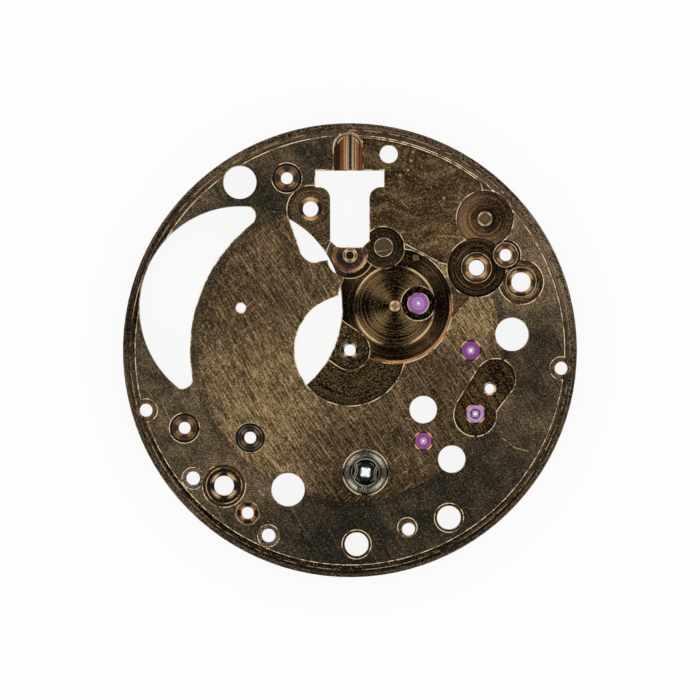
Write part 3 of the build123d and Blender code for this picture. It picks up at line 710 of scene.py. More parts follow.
def turned_face(
    name, centre, dark, light, pitch=0.10, rings=0.6, lit_side=(0.0, 1.0), side=0.0, corners=0.0, level=0.0,
    bands=(), neighbour_rings=(), shading=0.7, reach=0.3, metallic=1.0, painted_light=0.0, pits=0.55,
):
    """A recess floor that shows the concentric marks of its cutter, with painted light on the side that faces
    its lit side and in the four corner sectors.

    Bands of painted highlights, reflections and shade are (middle, half width, colour, weight, where it
    shows):
    None is all round, "corners" is towards the four corners, and (x, y, faint) is the way to its side and how
    near that way it begins to show. Neighbour rings of painted light and shade lie about other centres, as
    (centre, middle, half width, colour, weight).
    """
    material, tree, shader = new_material(name)
    turned = place_group(
        tree, turned_group, Centre=(*centre, 0.0), Pitch=pitch, Lit_side=(*lit_side, 0.0)
    )
    aged = age_marks(tree, 0.6)
    # Painted light: lighter towards the lit side, by side, and in the four corner sectors, by corners
    share = weigh(
        tree, (turned["Rings"], rings), (aged["Speckle"], 1.0 - rings), (aged["Mottle"], 0.12),
        (turned["Facing"], side), (turned["Corners"], corners), level=level - 0.20 - corners / 2,
    )
    # Broad painted light and shade over the floor
    share = with_painted_light(tree, share, painted_light)
    # The colour takes painted shade in its corners
    colour = place_group(
        tree, plating_group, Share=share, Dark=dark, Light=light, Speck_colour=srgb(200, 166, 122),
        Specks=times(tree, aged["Pits"], pits), Dirt=corner_shading(tree, reach, shading),
    )["Colour"]
    # Painted highlights, reflections and shade in bands and rings
    for middle, half_width, band_colour, weight, lit in bands:
        band = ring_mask(tree, turned["Radius"], middle, half_width)
        if lit == "corners":
            band = times(tree, band, spread(tree, turned["Corners"], 0.25, 0.7))
        elif lit:
            x, y, faint = lit
            facing = place_group(tree, turned_group, Centre=(*centre, 0.0), Lit_side=(x, y, 0.0))["Facing"]
            band = times(tree, band, spread(tree, facing, faint, faint + 0.3))
        wear_and_light = spread(tree, aged["Mottle"], 0.2, 0.7, 0.55 * weight, weight)
        colour = blend_colour(tree, times(tree, band, wear_and_light), colour, band_colour)
    for about, middle, half_width, ring_colour, weight in neighbour_rings:
        radius = place_group(tree, turned_group, Centre=(*about, 0.0))["Radius"]
        ring = times(tree, ring_mask(tree, radius, middle, half_width), weight)
        colour = blend_colour(tree, ring, colour, ring_colour)
    finish_metal(tree, shader, colour, 0.34, turned["Rings"], bump_mm=0.006, metallic=metallic)
    return material


def keyless_face():
    """The shallow recess of the winding work, with wavy cutter marks and a few punched dots."""
    material, tree, shader = new_material("keyless recess plating")
    where = place_in_mm(tree)
    aged = age_marks(tree, 0.7)
    swell = put(tree, "ShaderNodeCombineXYZ", {1: times(tree, noise(tree, where, 0.45), 2.4)})
    bent = vector_sum(tree, "ADD", where, swell)
    waves = noise(tree, vector_sum(tree, "MULTIPLY", bent, (0.5, 2.2, 0.5)), 1.0, 2.0)
    ripples = noise(tree, vector_sum(tree, "MULTIPLY", bent, (1.5, 11.0, 0.5)))
    rising = place_group(tree, brush_group, Angle=rising_angle, Spacing=0.045, Length=0.16)["Strokes"]
    falling = place_group(tree, brush_group, Angle=falling_angle, Spacing=0.045, Length=0.16)["Strokes"]
    arcs = put(tree, "ShaderNodeMix", {0: aged["Mottle"], 2: rising, 3: falling}, data_type="FLOAT")
    share = marked(
        tree, 0.195, 3.0, (spread(tree, waves, 0.38, 0.60), 1.4), (spread(tree, ripples, 0.36, 0.64), 0.8),
        (aged["Speckle"], 1.9), (arcs, 2.2),
    )
    flat = flattened(tree, where)
    marks = scratched(tree, keyless_scratches)
    for x, y in punched_dots:
        apart = distance(tree, flat, (x, y, 0.0))
        dot_mask = spread(tree, apart, punched_dot_core_mm, punched_dot_reach_mm, 1.0, 0.0)
        marks = sums(tree, "MAXIMUM", marks, dot_mask)
    # The colour takes painted shade in its corners
    colour = place_group(
        tree, plating_group, Share=share, Dark=srgb(16, 11, 7), Light=srgb(172, 140, 98),
        Speck_colour=srgb(196, 160, 112), Specks=weigh(tree, (marks, 0.9), (aged["Pits"], 0.6)),
        Dirt=corner_shading(tree, 0.15, 0.6),
    )["Colour"]
    finish_metal(tree, shader, colour, 0.40, share)
    return material


def worn_and_lit_edge(name, dull, bright, patch=0.5, low=0.34):
    """An edge rubbed down to the bare brass and lightened further as a painted highlight, brighter in some
    stretches than in others.
    """
    material, tree, shader = new_material(name)
    aged = age_marks(tree, patch, edge_grain_mm)
    # Rubbed brass and painted highlight, patchy along the edge
    wear_and_light = spread(tree, weigh(tree, (aged["Mottle"], 0.7), (aged["Speckle"], 0.3)), low, 0.58)
    colour = blend_colour(tree, wear_and_light, dull, bright)
    finish_metal(tree, shader, colour, 0.35, metallic=0.35)
    return material


def seat_edge_highlight(name, dark, bright, low=0.35, high=0.85, facing="Corners"):
    """The sloped seat round a pressed-in piece, with a painted highlight where it faces the corners, or up
    and down.
    """
    material, tree, shader = new_material(name)
    aged = age_marks(tree, 0.3, edge_grain_mm)
    leaning = place_group(tree, slope_group)[facing]
    # Painted highlight from the way the slope faces, broken by mottling
    wear_and_light = weigh(tree, (leaning, 0.9), (aged["Mottle"], 0.3), (aged["Speckle"], 0.15), level=-0.15)
    colour = blend_colour(tree, spread(tree, wear_and_light, low, high), dark, bright)
    finish_metal(tree, shader, colour, 0.35, metallic=0.35)
    return material


def wall_face(name, dark, light):
    """An upright wall: dark, with the copper shine of the brass under the plating."""
    material, tree, shader = new_material(name)
    aged = age_marks(tree, 0.7, wall_grain_mm)
    share = weigh(tree, (aged["Mottle"], 0.45), (aged["Speckle"], 0.45))
    colour = blend_colour(tree, share, dark, light)
    # Painted shade at the foot of the wall
    colour = blend_colour(tree, corner_shading(tree, 0.2, 0.5), colour, soot_and_shade)
    finish_metal(tree, shader, colour, 0.3)
    return material


# Painted reflections and shade along the curved stem groove, as stripes of (where it ends across the groove,
# colour)
stem_light_and_shade_stripes = [
    (-0.66, umber), (-0.38, srgb(54, 34, 20)), (-0.20, srgb(158, 96, 50)), (-0.145, srgb(255, 196, 134)),
    (-0.10, srgb(200, 124, 62)), (-0.045, cream), (0.035, srgb(214, 182, 136)), (0.12, soot_and_shade), (0.16, brown),
    (0.255, srgb(255, 224, 168)), (0.30, srgb(120, 72, 28)), (0.355, cream), (0.48, srgb(206, 132, 76)),
    (0.53, srgb(120, 50, 18)), (0.60, srgb(164, 106, 72)), (0.66, brown),
]


def stem_groove_face():
    """The open groove over the stem, with painted reflections and shade striped along its length, and painted
    rings of highlight and shade round its far end.
    """
    material, tree, shader = new_material("stem groove painted reflections")
    place = put(tree, "ShaderNodeSeparateXYZ", {0: place_in_mm(tree)}).node.outputs
    aged = age_marks(tree, 0.5)
    across = wobbled(tree, sums(tree, "SUBTRACT", place[0], stem_x_mm), aged["Speckle"])
    colour = stepped_ramp(tree, across, stem_light_and_shade_stripes)
    colour = blend_colour(tree, times(tree, aged["Speckle"], 0.25), colour, umber)
    past_end = spread(tree, place[1], stem_end_y_mm, stem_end_y_mm + 0.02)
    end = place_group(tree, turned_group, Centre=(stem_x_mm, stem_end_y_mm, 0.0))
    diagonal = spread(tree, end["Corners"], 0.2, 0.7)
    for middle, half_width, shade, weight in (
        (0.57, 0.03, umber, 0.6), (0.63, 0.025, cream, 0.85), (0.50, 0.02, cream, diagonal)
    ):
        band = ring_mask(tree, end["Radius"], middle, half_width)
        here = times(tree, band, times(tree, past_end, weight))
        colour = blend_colour(tree, here, colour, shade)
    finish_metal(tree, shader, colour, 0.4, metallic=0.15)
    return material


def banded_piece(name, centre, bands, glint=(0.3, 0.75), patchy=0.3, shading=0.5):
    """Turned metal seen as rings with their light and shade painted in, from bands of (outer radius, colour,
    colour towards the corners), the corner colour a painted highlight.
    """
    material, tree, shader = new_material(name)
    turned = place_group(tree, turned_group, Centre=(*centre, 0.0), Pitch=0.04)
    aged = age_marks(tree, 0.22, piece_grain_mm)
    radius = wobbled(tree, turned["Radius"], aged["Mottle"])
    plain = stepped_ramp(tree, radius, [(edge, colour) for edge, colour, _ in bands])
    lit = stepped_ramp(tree, radius, [(edge, colour) for edge, _, colour in bands])
    # Painted highlight towards the four corners, patchy with mottling
    toward = sums(tree, "ADD", turned["Corners"], spread(tree, aged["Mottle"], 0.0, 1.0, -patchy, patchy))
    colour = blend_colour(tree, spread(tree, toward, *glint), plain, lit)
    colour = blend_colour(tree, spread(tree, aged["Speckle"], 0.0, 1.0, 0.45, 0.0), colour, soot_and_shade)
    # Painted shade in the piece's corners
    colour = blend_colour(tree, corner_shading(tree, 0.12, shading), colour, soot_and_shade)
    finish_metal(tree, shader, colour, 0.32, turned["Rings"], bump_mm=0.003, metallic=0.6)
    return material


def ruby(name, centre, body, rings):
    """Synthetic ruby, with painted rings of light and shade, as (middle, half width, colour, weight), where
    light gathers in its cup.
    """
    material, tree, shader = new_material(name)
    turned = place_group(tree, turned_group, Centre=(*centre, 0.0), Pitch=0.08)
    aged = age_marks(tree, 0.2, piece_grain_mm)
    colour = blend_colour(tree, times(tree, aged["Mottle"], 0.3), body, srgb(78, 16, 92))
    for middle, half_width, ring_colour, weight in rings:
        ring = ring_mask(tree, turned["Radius"], middle, half_width, 0.03)
        colour = blend_colour(tree, times(tree, ring, weight), colour, ring_colour)
    tree.links.new(colour, shader.inputs["Base Color"])
    shader.inputs["Roughness"].default_value = 0.12
    shader.inputs["IOR"].default_value = 1.77
    shader.inputs["Transmission Weight"].default_value = 0.25
    return material


# Meshes


def edge_groups(solid, edge_width_mm):
    """Outward edges that a deburring tool reaches: those of recesses, and those of through holes."""
    recess, through = [], []
    for edge in solid.edges:
        if len(edge.link_faces) != 2 or edge.calc_face_angle_signed() < sharp_from:
            continue
        level, wall = sorted(edge.link_faces, key=lambda face: -abs(face.normal.z))
        if abs(wall.normal.z) > upright_share or abs(level.normal.z) < level_share:
            continue
        heights = [vertex.co.z / MM for vertex in wall.verts]
        wall_height = max(heights) - min(heights)
        if wall_height > deep_wall_mm:
            through.append(edge)
        elif wall_height > lowest_wall_in_widths * edge_width_mm:
            recess.append(edge)
    return recess, through


def dressed(node, edge_width_mm, finish_of, materials, edge_of=None, through_width_mm=None):
    """A copy of a CAD piece with broken edges, its faces finished one by one."""
    source = frame["nodes"][node]
    solid = bmesh.new()
    solid.from_mesh(source.data)
    bmesh.ops.remove_doubles(solid, verts=solid.verts, dist=weld_distance)
    top = max(vertex.co.z for vertex in solid.verts)
    order = list(materials)
    for face in solid.faces:
        face.material_index = order.index(finish_of(face.calc_center_median() / MM, face.normal))
    # Broken edges get indices past the real finishes, those of through holes after those of recesses
    edge_index = len(order)
    recess, through = edge_groups(solid, edge_width_mm)
    for edges, width in ((recess, edge_width_mm), (through, through_width_mm or edge_width_mm)):
        kept = [edge for edge in edges if edge.is_valid]
        if not kept:
            continue
        bmesh.ops.bevel(
            solid, geom=kept, offset=width * MM, offset_type="OFFSET", segments=1, profile=0.5,
            affect="EDGES", clamp_overlap=False, material=edge_index,
        )
        edge_index += 1
    # A bevel can lift a point past the flat top, which stays the CAD's
    for vertex in solid.verts:
        vertex.co.z = min(vertex.co.z, top)
    for face in solid.faces:
        if face.material_index >= len(order):
            passed_through = face.material_index > len(order)
            centre = face.calc_center_median() / MM
            name = edge_of(centre, passed_through) if edge_of else finish_of(centre, face.normal)
            face.material_index = order.index(name)
    mesh = bpy.data.meshes.new(node + "_dressed")
    solid.to_mesh(mesh)
    solid.free()
    # The CAD's own normals no longer fit the broken edges
    if "custom_normal" in mesh.attributes:
        mesh.attributes.remove(mesh.attributes["custom_normal"])
    mesh.polygons.foreach_set("use_smooth", [True] * len(mesh.polygons))
    mesh.set_sharp_from_angle(angle=smooth_angle)
    for name in order:
        mesh.materials.append(materials[name])
    piece = bpy.data.objects.new(node + "_finished", mesh)
    bpy.context.scene.collection.objects.link(piece)
    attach(piece, source["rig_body"])
    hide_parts(node)
    return piece


def lies_at(height, *levels):
    """Whether a height is one of these levels."""
    return any(abs(height - level) < height_slack_mm for level in levels)


def reach_from(centre, x, y):
    """How far a point lies from a centre, seen from above."""
    return hypot(x - centre[0], y - centre[1])


def level_finish(x, y, z):
    """Which finish a level face of the plate has."""
    radius = hypot(x, y)
    if lies_at(z, dial_face_mm):
        return "outer_ring"
    if lies_at(z, centre_disc_mm):
        return "centre_disc"
    if lies_at(z, flange_mm):
        return "flange"
    if groove_inner_mm < radius < groove_outer_mm:
        return "rim_groove"
    if lies_at(z, passage_floor_mm) and (radius > foot_from_mm or y < 0):
        return "foot_sink"
    if lies_at(z, keyless_floor_mm, passage_floor_mm):
        return "keyless"
    if lies_at(z, end_piece_floor_mm):
        return "end_piece_floor"
    if lies_at(z, lever_floor_mm):
        return "lever_floor"
    if lies_at(z, pin_sink_mm):
        return "pin_sink"
    near_tube = min(reach_from(tube, x, y) for tube in tube_centres) < tube_sink_reach_mm
    if near_tube and lies_at(z, *tube_sinks_mm):
        return "tube_sink"
    for name, (middle, reach, levels) in turned_floors.items():
        if lies_at(z, *levels) and reach_from(middle, x, y) < reach:
            return name
    return "ledge"


def sloped_finish(x, y, z):
    """Which finish a sloped face of the plate has."""
    radius = hypot(x, y)
    if radius > rim_from_mm:
        return "flange"
    if radius > rim_line_from_mm:
        return "rim_line"
    if reach_from(balance_centre, x, y) < balance_seat_reach_mm:
        return "block_seat"
    if z > centre_disc_mm and abs(radius - centre_disc_radius_mm) < radius_slack_mm:
        return "outer_ring"
    if min(reach_from(seat, x, y) for seat in seat_centres) < seat_reach_mm:
        return "seat_edge_highlight"
    if reach_from(lever_head_mm, x, y) < seat_reach_mm:
        return "lever_seat"
    beside_well = abs(reach_from(minute_centre, x, y) - minute_well_radius_mm) < minute_well_slack_mm
    if beside_well and z < minute_well_top_mm:
        return "well_wall"
    return "worn_and_lit_edge"


def plate_finish(centre, normal):
    """Which finish a face of the plate has, from where it lies and how it faces."""
    x, y, z = centre
    radius = hypot(x, y)
    if normal.z < -upright_share:
        return "bridge_side"
    beside_stem = abs(x - stem_x_mm) < stem_groove_radius_mm and stem_groove_from_mm < y < stem_groove_to_mm
    in_rim_groove = normal.z > level_share and radius > groove_inner_mm and lies_at(z, keyless_floor_mm)
    if beside_stem and z < dial_face_mm - height_slack_mm and not in_rim_groove:
        return "stem_groove"
    if normal.z > level_share:
        return level_finish(x, y, z)
    if normal.z > upright_share:
        return sloped_finish(x, y, z)
    if radius > rim_wall_from_mm:
        return "rim_wall"
    in_groove = groove_inner_mm - radius_slack_mm < radius < groove_outer_mm + radius_slack_mm
    return "rim_groove" if in_groove else "wall"


def plate_edge(centre, passed_through):
    """Which finish a broken edge of the plate has."""
    x, y, z = centre
    radius = hypot(x, y)
    if radius > rim_from_mm:
        return "groove_line" if radius < groove_outer_mm + plate_edge_mm else "flange"
    if radius > rim_line_from_mm:
        return "rim_line"
    if radius > rim_shoulder_from_mm and x > 0 and y > 0:
        return "hole_edge"
    if stem_end_y_mm > y > stem_groove_from_mm and abs(x - stem_x_mm - stem_groove_radius_mm) < plate_edge_mm:
        return "hole_edge"
    if reach_from(balance_centre, x, y) < balance_seat_reach_mm:
        return "block_seat"
    # The edges inside these two floors keep the floor's finish
    for name in ("setting_floor", "pipe_floor"):
        middle, reach, levels = turned_floors[name]
        if z < levels[0] + height_slack_mm and reach_from(middle, x, y) < reach:
            return name
    if not passed_through:
        return "worn_and_lit_edge"
    for x_from, x_to, y_from, y_to, lowest_z in dull_stretches:
        if x_from < x < x_to and y_from < y < y_to and z > lowest_z:
            return "dull_edge"
    return "hole_edge"


# The plate

# Bands on the turned floors, here and in the neighbour rings: bright ones are painted highlights and
# reflections, soot and near-black ones painted shade
flange_bands = [(9.89, 0.06, soot_and_shade, 0.9, (0.26, -0.97, 0.4)), (9.95, 0.09, soot_and_shade, 0.6, (-0.96, 0.26, 0.6))]
minute_floor_bands = [
    (2.21, 0.33, srgb(10, 8, 5), 0.75, None), (2.53, 0.07, srgb(240, 176, 110), 0.95, (0.64, -0.77, 0.45)),
    (1.79, 0.02, srgb(120, 88, 58), 0.7, None), (1.79, 0.03, srgb(252, 208, 148), 0.95, "corners"),
]
minute_floor_neighbours = [
    (clutch_centre, 0.5, 0.5, soot_and_shade, 0.8), (clutch_centre, 1.03, 0.010, pale_line, 0.85),
    (yoke_centre, 0.95, 0.008, pale_line, 0.6),
]
clutch_floor_bands = [
    (0.69, 0.09, srgb(172, 104, 48), 0.85, (-0.95, -0.3, 0.4)),
    (0.50, 0.12, srgb(18, 10, 12), 0.9, (-0.8, -0.6, 0.45)),
    (0.655, 0.02, srgb(236, 160, 92), 1.0, (0.66, -0.75, 0.6)),
    (0.727, 0.02, cream, 1.0, (0.66, -0.75, 0.6)), (0.88, 0.10, soot_and_shade, 0.8, (0.3, -0.95, 0.45)),
]
plate_materials = {
    "outer_ring": outer_ring_face(),
    "centre_disc": centre_disc_face(),
    "flange": turned_face(
        "flange plating", (0.0, 0.0), srgb(14, 11, 9), srgb(176, 148, 118), pitch=0.07, rings=0.4, shading=0.2,
        painted_light=4.0, level=-0.12, bands=flange_bands,
    ),
    "rim_groove": turned_face(
        "rim groove", (0.0, 0.0), srgb(8, 6, 5), srgb(150, 124, 94), pitch=0.06, rings=0.7, shading=0.1,
        level=-0.04, lit_side=(0.34, 0.94), side=0.22, painted_light=4.0,
    ),
    "keyless": keyless_face(),
    "end_piece_floor": plated_face(
        "end piece recess plating", srgb(16, 11, 7), srgb(150, 118, 78), shading=0.8, level=-0.27,
    ),
    "lever_floor": turned_face(
        "lever recess plating", lever_head_mm, srgb(16, 12, 8), srgb(146, 118, 82), rings=0.4, level=-0.03,
    ),
    "ledge": plated_face("counterbore brass", srgb(24, 15, 9), srgb(150, 106, 68), shading=0.7),
    "pin_sink": plated_face(
        "pin sink brass", srgb(44, 30, 20), srgb(255, 232, 208), shading=0.2, level=-0.18, patch=0.25,
        strokes=0.1,
    ),
    "foot_sink": plated_face(
        "foot sink copper", srgb(22, 14, 9), srgb(196, 152, 114), shading=0.4, level=-0.04, patch=0.2,
        strokes=0.1,
    ),
    "tube_sink": plated_face("tube sink", srgb(8, 6, 4), srgb(120, 92, 58), shading=0.8, strokes=0.1),
    "seat_edge_highlight": seat_edge_highlight("jewel seat brass", srgb(26, 16, 9), srgb(250, 206, 142)),
    "block_seat": seat_edge_highlight("block seat brass", srgb(26, 16, 9), srgb(255, 228, 180), 0.12, 0.45),
    "lever_seat": seat_edge_highlight("lever seat brass", srgb(52, 32, 18), srgb(240, 196, 138), 0.3, 1.0, "Upright"),
    "well_wall": seat_edge_highlight("minute well wall", srgb(44, 30, 18), srgb(255, 222, 168), 0.25, 0.85),
    "worn_and_lit_edge": worn_and_lit_edge("plate edge brass", srgb(118, 88, 56), srgb(255, 230, 186), low=0.38),
    "rim_line": worn_and_lit_edge("rim line brass", srgb(150, 116, 72), srgb(255, 240, 198), patch=0.35),
    "groove_line": worn_and_lit_edge("groove line brass", srgb(70, 56, 40), srgb(210, 178, 136)),
    "hole_edge": worn_and_lit_edge("hole edge brass", srgb(70, 52, 34), srgb(204, 160, 116), patch=0.35),
    "dull_edge": worn_and_lit_edge("dull edge brass", srgb(34, 26, 17), srgb(104, 84, 58)),
    "wall": wall_face("plate wall", srgb(34, 23, 14), srgb(134, 96, 58)),
    "rim_wall": turned_face(
        "rim wall plating", (0.0, 0.0), srgb(26, 20, 14), srgb(150, 124, 92), rings=0.3, level=0.02,
        shading=0.3,
    ),
    "stem_groove": stem_groove_face(),
    "bridge_side": plated_face("bridge side plating", srgb(60, 47, 30), srgb(190, 160, 118), strokes=0.6),
    "minute_floor": turned_face(
        "minute recess plating", minute_centre, srgb(7, 5, 3), srgb(184, 148, 98), corners=0.50, level=-0.26,
        bands=minute_floor_bands, neighbour_rings=minute_floor_neighbours, pitch=0.042, rings=0.62, pits=0.30,
    ),
    "setting_floor": turned_face(
        "setting recess plating", setting_centre, srgb(10, 8, 9), srgb(146, 114, 80), lit_side=(-0.83, -0.55),
        side=0.30, level=0.14, pitch=0.06, reach=0.15, bands=[(0.42, 0.22, srgb(8, 7, 8), 0.80, None)],
    ),
    "pipe_floor": turned_face(
        "pipe recess plating", pipe_centre, srgb(8, 6, 4), srgb(130, 102, 68), level=-0.22, pitch=0.06,
        rings=0.7, pits=0.35, bands=[(0.92, 0.012, gold, 0.4, "corners")],
    ),
    "clutch_floor": turned_face(
        "clutch recess copper", clutch_centre, srgb(14, 9, 7), srgb(120, 84, 48), rings=0.5, level=-0.06,
        pitch=0.07, bands=clutch_floor_bands, metallic=0.5,
    ),
    "yoke_floor": turned_face(
        "yoke recess plating", yoke_centre, srgb(9, 7, 5), srgb(110, 88, 58), level=-0.16, pitch=0.06,
        pits=0.25,
    ),
    "centre_floor": turned_face(
        "centre recess plating", (0.0, 0.0), srgb(9, 7, 4), srgb(160, 130, 86), rings=0.25, level=-0.26,
        pitch=0.06,
    ),
    # Nearly black all over: painted shade in the deep sink
    "third_floor": turned_face(
        "third wheel sink", third_centre, srgb(4, 3, 2), srgb(40, 30, 22), level=-0.2,
    ),
}
dressed("main_plate", plate_edge_mm, plate_finish, plate_materials, plate_edge, hole_edge_mm)


# The pieces pressed into it


def one_finish(centre, normal):
    """Small pieces have one finish all over."""
    return "body"


def rim_finish(centre, passed_through):
    """The broken edge of a post or of the spring is rubbed bright, and painted lighter still as a highlight.
    """
    return "rim"


# Rings of the bushes and tubes, as (outer radius, colour, colour towards the corners): their metal with
# painted highlights and reflections, and soot rings of painted shade in the gaps
plain_bush_bands = [
    (0.25, umber, umber), (0.33, pale_copper, cream), (0.36, umber, brown), (0.42, brown, gold),
    (0.45, umber, brown), (0.49, brown, pale_copper), (0.52, umber, umber), (0.555, brown, pale_copper),
    (0.62, soot_and_shade, umber), (0.70, soot_and_shade, soot_and_shade),
]
steel_dark, steel_grey, steel_light = srgb(24, 24, 18), srgb(66, 64, 50), srgb(150, 146, 124)
steel_bush = "bridge_screw_bush_centre_left"
bush_bands = {
    "bridge_screw_bush_top_left": plain_bush_bands,
    "bridge_screw_bush_left": plain_bush_bands,
    "bridge_screw_bush_right": [
        (0.25, umber, umber), (0.33, gold, cream), (0.36, umber, brown), (0.43, brown, gold),
        (0.46, pale_copper, gold), (0.53, umber, umber), (0.56, gold, cream), (0.62, soot_and_shade, soot_and_shade),
        (0.70, soot_and_shade, soot_and_shade),
    ],
    "locating_tube_right": [
        (0.40, copper, cream), (0.50, copper, cream), (0.56, umber, gold), (0.60, soot_and_shade, copper),
        (0.66, umber, soot_and_shade), (0.69, gold, cream), (0.73, soot_and_shade, umber), (0.80, brown, gold),
    ],
    "locating_tube_left": [
        (0.40, umber, cream), (0.47, brown, cream), (0.50, umber, pale_copper), (0.58, umber, cream),
        (0.61, soot_and_shade, brown), (0.70, umber, gold),
    ],
    "small_screw_bush": [
        (0.25, pale_copper, cream), (0.32, pale_copper, cream), (0.36, umber, pale_copper),
        (0.43, soot_and_shade, pale_copper), (0.49, umber, brown), (0.56, gold, cream),
    ],
    "intermediate_wheel_pipe": [
        (0.34, copper, copper), (0.38, brown, copper), (0.47, gold, cream), (0.55, brown, gold),
        (0.62, umber, brown), (0.665, soot_and_shade, umber), (0.72, gold, cream),
    ],
    "centre_wheel_bush": [
        (0.24, umber, gold), (0.33, umber, cream), (0.37, soot_and_shade, copper), (0.42, soot_and_shade, brown),
    ],
    steel_bush: [
        (0.25, umber, umber), (0.33, brown, gold), (0.38, umber, brown), (0.43, brown, gold),
        (0.46, steel_dark, umber), (0.53, steel_dark, steel_grey), (0.555, steel_grey, steel_light),
        (0.59, steel_dark, steel_grey), (0.70, soot_and_shade, soot_and_shade),
    ],
}
for node, bands in bush_bands.items():
    face = banded_piece(node + " turned", middle_mm(node), bands)
    dressed(node, bush_edge_mm, one_finish, {"body": face})

tan = srgb(112, 90, 60)
dark_tan = srgb(92, 72, 46)
# Rings of the posts, as (outer radius, colour, colour towards the corners), with painted highlights towards
# the corners
post_bands = {
    "minute_wheel_post": [(0.13, tan, gold), (0.16, brown, tan), (0.30, gold, cream)],
    "setting_wheel_post": [(0.22, tan, tan), (0.25, brown, tan), (0.28, tan, gold), (0.38, gold, cream)],
    "yoke_post": [(0.30, dark_tan, dark_tan), (0.395, dark_tan, dark_tan), (0.45, gold, cream)],
    "clutch_lever_post": [(0.18, umber, umber), (0.22, gold, cream), (0.28, brown, gold),
                          (0.33, gold, cream), (0.38, umber, brown)],
    "stop_stud": [(0.10, tan, tan), (0.17, tan, gold)],
}
post_rim = worn_and_lit_edge("post rim brass", srgb(150, 118, 74), srgb(240, 208, 150))
for node, bands in post_bands.items():
    face = banded_piece(node + " turned", middle_mm(node), bands)
    dressed(node, post_edge_mm, one_finish, {"body": face, "rim": post_rim}, rim_finish)

nickel_dark, nickel, nickel_light = srgb(80, 78, 62), srgb(130, 126, 108), srgb(216, 212, 198)
# Block and bowl rings, as (outer radius, colour, colour towards the corners): nickel with painted highlights
# and a painted dark gap; the bowl painted dark as shade, pale round its hole as painted light, with painted
# highlight arcs and a pale painted line at its left and right
block_bands = [
    (0.60, srgb(10, 14, 18), srgb(18, 26, 32)), (0.70, srgb(70, 60, 40), nickel), (0.76, nickel_dark, nickel),
    (0.88, nickel_dark, nickel_light), (0.94, nickel_dark, nickel), (0.99, soot_and_shade, umber),
]
bowl_bands = [
    (0.24, srgb(150, 154, 150), srgb(236, 238, 232)), (0.30, srgb(12, 17, 22), srgb(60, 66, 70)),
    (0.44, srgb(8, 12, 16), srgb(12, 18, 24)), (0.49, srgb(16, 24, 32), srgb(196, 206, 222)),
    (0.62, srgb(8, 12, 16), srgb(14, 20, 26)), (0.655, srgb(190, 164, 146), srgb(14, 20, 26)),
    (0.72, srgb(8, 12, 16), srgb(14, 20, 26)),
]
block_metal = banded_piece("block nickel", balance_centre, block_bands, glint=(0.1, 0.9), patchy=0.4)
bowl_shade = banded_piece("bowl painted shade", balance_centre, bowl_bands, glint=(0.55, 0.95))


def block_finish(centre, normal):
    """The shock block is bright on top, and inside its bowl painted dark as shade."""
    inside = reach_from(balance_centre, centre.x, centre.y) < bowl_radius_mm
    return "bowl" if inside and centre.z < block_top_mm - height_slack_mm else "body"


dressed(
    "shock_block", fine_edge_mm, block_finish, {"body": block_metal, "bowl": bowl_shade}
)
# The spring's colours, lighter towards the corners as a painted highlight
spring_bands = [
    (0.50, srgb(62, 56, 34), srgb(104, 96, 62)), (0.68, srgb(52, 46, 28), srgb(92, 84, 54)),
    (1.10, umber, srgb(96, 88, 60)),
]
spring_finishes = {
    "body": banded_piece("spring alloy", balance_centre, spring_bands, shading=0.3),
    "rim": worn_and_lit_edge("spring edge", srgb(150, 140, 104), srgb(232, 224, 186)),
}
dressed("lyre_spring", spring_edge_mm, one_finish, spring_finishes, rim_finish)

pale_violet, dark_violet, milk = srgb(226, 170, 236), srgb(50, 8, 58), srgb(250, 244, 252)
# Painted rings of light and shade in each stone, with a white centre painted as light through its hole
ruby_rings = {
    "jewel_fourth_wheel": (srgb(126, 20, 134), [(0.15, 0.04, pale_violet, 0.45), (0.0, 0.085, milk, 0.95)]),
    "jewel_third_wheel": (srgb(172, 90, 192), [(0.235, 0.015, pale_violet, 0.7), (0.13, 0.02, milk, 0.4),
                                               (0.0, 0.05, milk, 0.95)]),
    "jewel_escape_wheel": (srgb(210, 158, 218), [(0.19, 0.03, dark_violet, 1.0), (0.0, 0.07, milk, 0.8)]),
    "jewel_pallet_fork": (srgb(160, 44, 140), [(0.20, 0.02, dark_violet, 0.7), (0.08, 0.09, pale_violet, 0.6),
                                               (0.0, 0.05, milk, 0.9)]),
}
for node, (body, rings) in ruby_rings.items():
    stone = ruby(node + " stone", middle_mm(node), body, rings)
    dressed(node, fine_edge_mm, one_finish, {"body": stone})


# Studio


def glow_for_sight(tree, surface, glow):
    """Mix in the table's glow, which only the camera, reflections and glass see."""
    path = tree.nodes.new("ShaderNodeLightPath").outputs
    seen = sums(tree, "MAXIMUM", path["Is Camera Ray"], path["Is Glossy Ray"])
    seen = sums(tree, "MAXIMUM", seen, path["Is Transmission Ray"])
    share = times(tree, seen, table_glow)
    return put(tree, "ShaderNodeMixShader", {0: share, 1: surface, 2: glow})


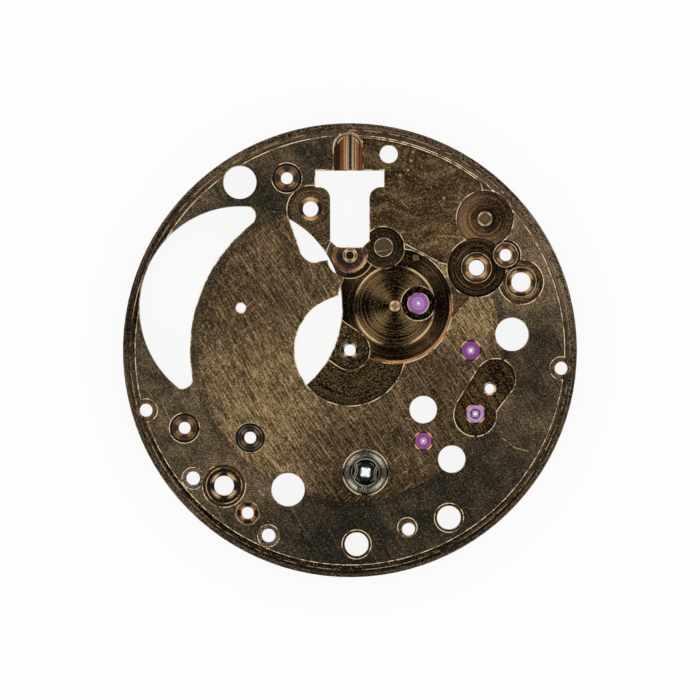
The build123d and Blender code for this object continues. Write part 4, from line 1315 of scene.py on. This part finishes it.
def make_table():
    """The pale table under the plate, which keeps its shadow."""
    half = table_half_side
    corners = [(-half, -half), (half, -half), (half, half), (-half, half)]
    mesh = bpy.data.meshes.new("table_top")
    mesh.from_pydata([(x, y, -table_drop) for x, y in corners], [], [(0, 1, 2, 3)])
    material = bpy.data.materials.new("table white")
    material.use_nodes = True
    tree = material.node_tree
    tree.nodes.clear()
    matt = put(tree, "ShaderNodeBsdfDiffuse", {"Color": table_grey})
    glow = put(tree, "ShaderNodeEmission", {"Color": white, "Strength": 1.0})
    output = tree.nodes.new("ShaderNodeOutputMaterial")
    tree.links.new(glow_for_sight(tree, matt, glow), output.inputs[0])
    mesh.materials.append(material)
    table_top = bpy.data.objects.new("table_top", mesh)
    bpy.context.scene.collection.objects.link(table_top)


def make_world():
    """Even studio light, with a white background where the camera sees past the table."""
    world = bpy.data.worlds.new("studio")
    bpy.context.scene.world = world
    world.use_nodes = True
    tree = world.node_tree
    tree.nodes.clear()
    room = put(tree, "ShaderNodeBackground", {"Color": room_grey, "Strength": 1.0})
    backdrop = put(tree, "ShaderNodeBackground", {"Color": white, "Strength": 1.0})
    seen = tree.nodes.new("ShaderNodeLightPath").outputs["Is Camera Ray"]
    output = tree.nodes.new("ShaderNodeOutputWorld")
    tree.links.new(put(tree, "ShaderNodeMixShader", {0: seen, 1: room, 2: backdrop}), output.inputs[0])


def make_lamps():
    """Four soft boxes round the plate, one to each corner."""
    for corner in range(4):
        turn = pi / 4 + corner * pi / 2
        data = bpy.data.lights.new(f"soft_box_{corner}", "AREA")
        data.shape = "SQUARE"
        data.size = lamp_side
        data.energy = lamp_power
        lamp = bpy.data.objects.new(f"soft_box_{corner}", data)
        level = lamp_distance * cos(lamp_height_angle)
        lamp.location = (level * cos(turn), level * sin(turn), lamp_distance * sin(lamp_height_angle))
        lamp.rotation_euler = (pi / 2 - lamp_height_angle, 0.0, turn + pi / 2)
        bpy.context.scene.collection.objects.link(lamp)


def make_camera():
    """A long lens straight above the plate, with the photograph's framing."""
    data = bpy.data.cameras.new("camera")
    data.sensor_width = sensor_width_mm
    plate_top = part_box("main_plate")[1].z
    data.lens = sensor_width_mm * (camera_height - plate_top) / picture_width
    camera = bpy.data.objects.new("camera", data)
    camera.location = (*picture_centre, camera_height)
    bpy.context.scene.collection.objects.link(camera)
    bpy.context.scene.camera = camera


make_table()
make_world()
make_lamps()
make_camera()
bpy.context.scene.view_settings.view_transform = "Standard"
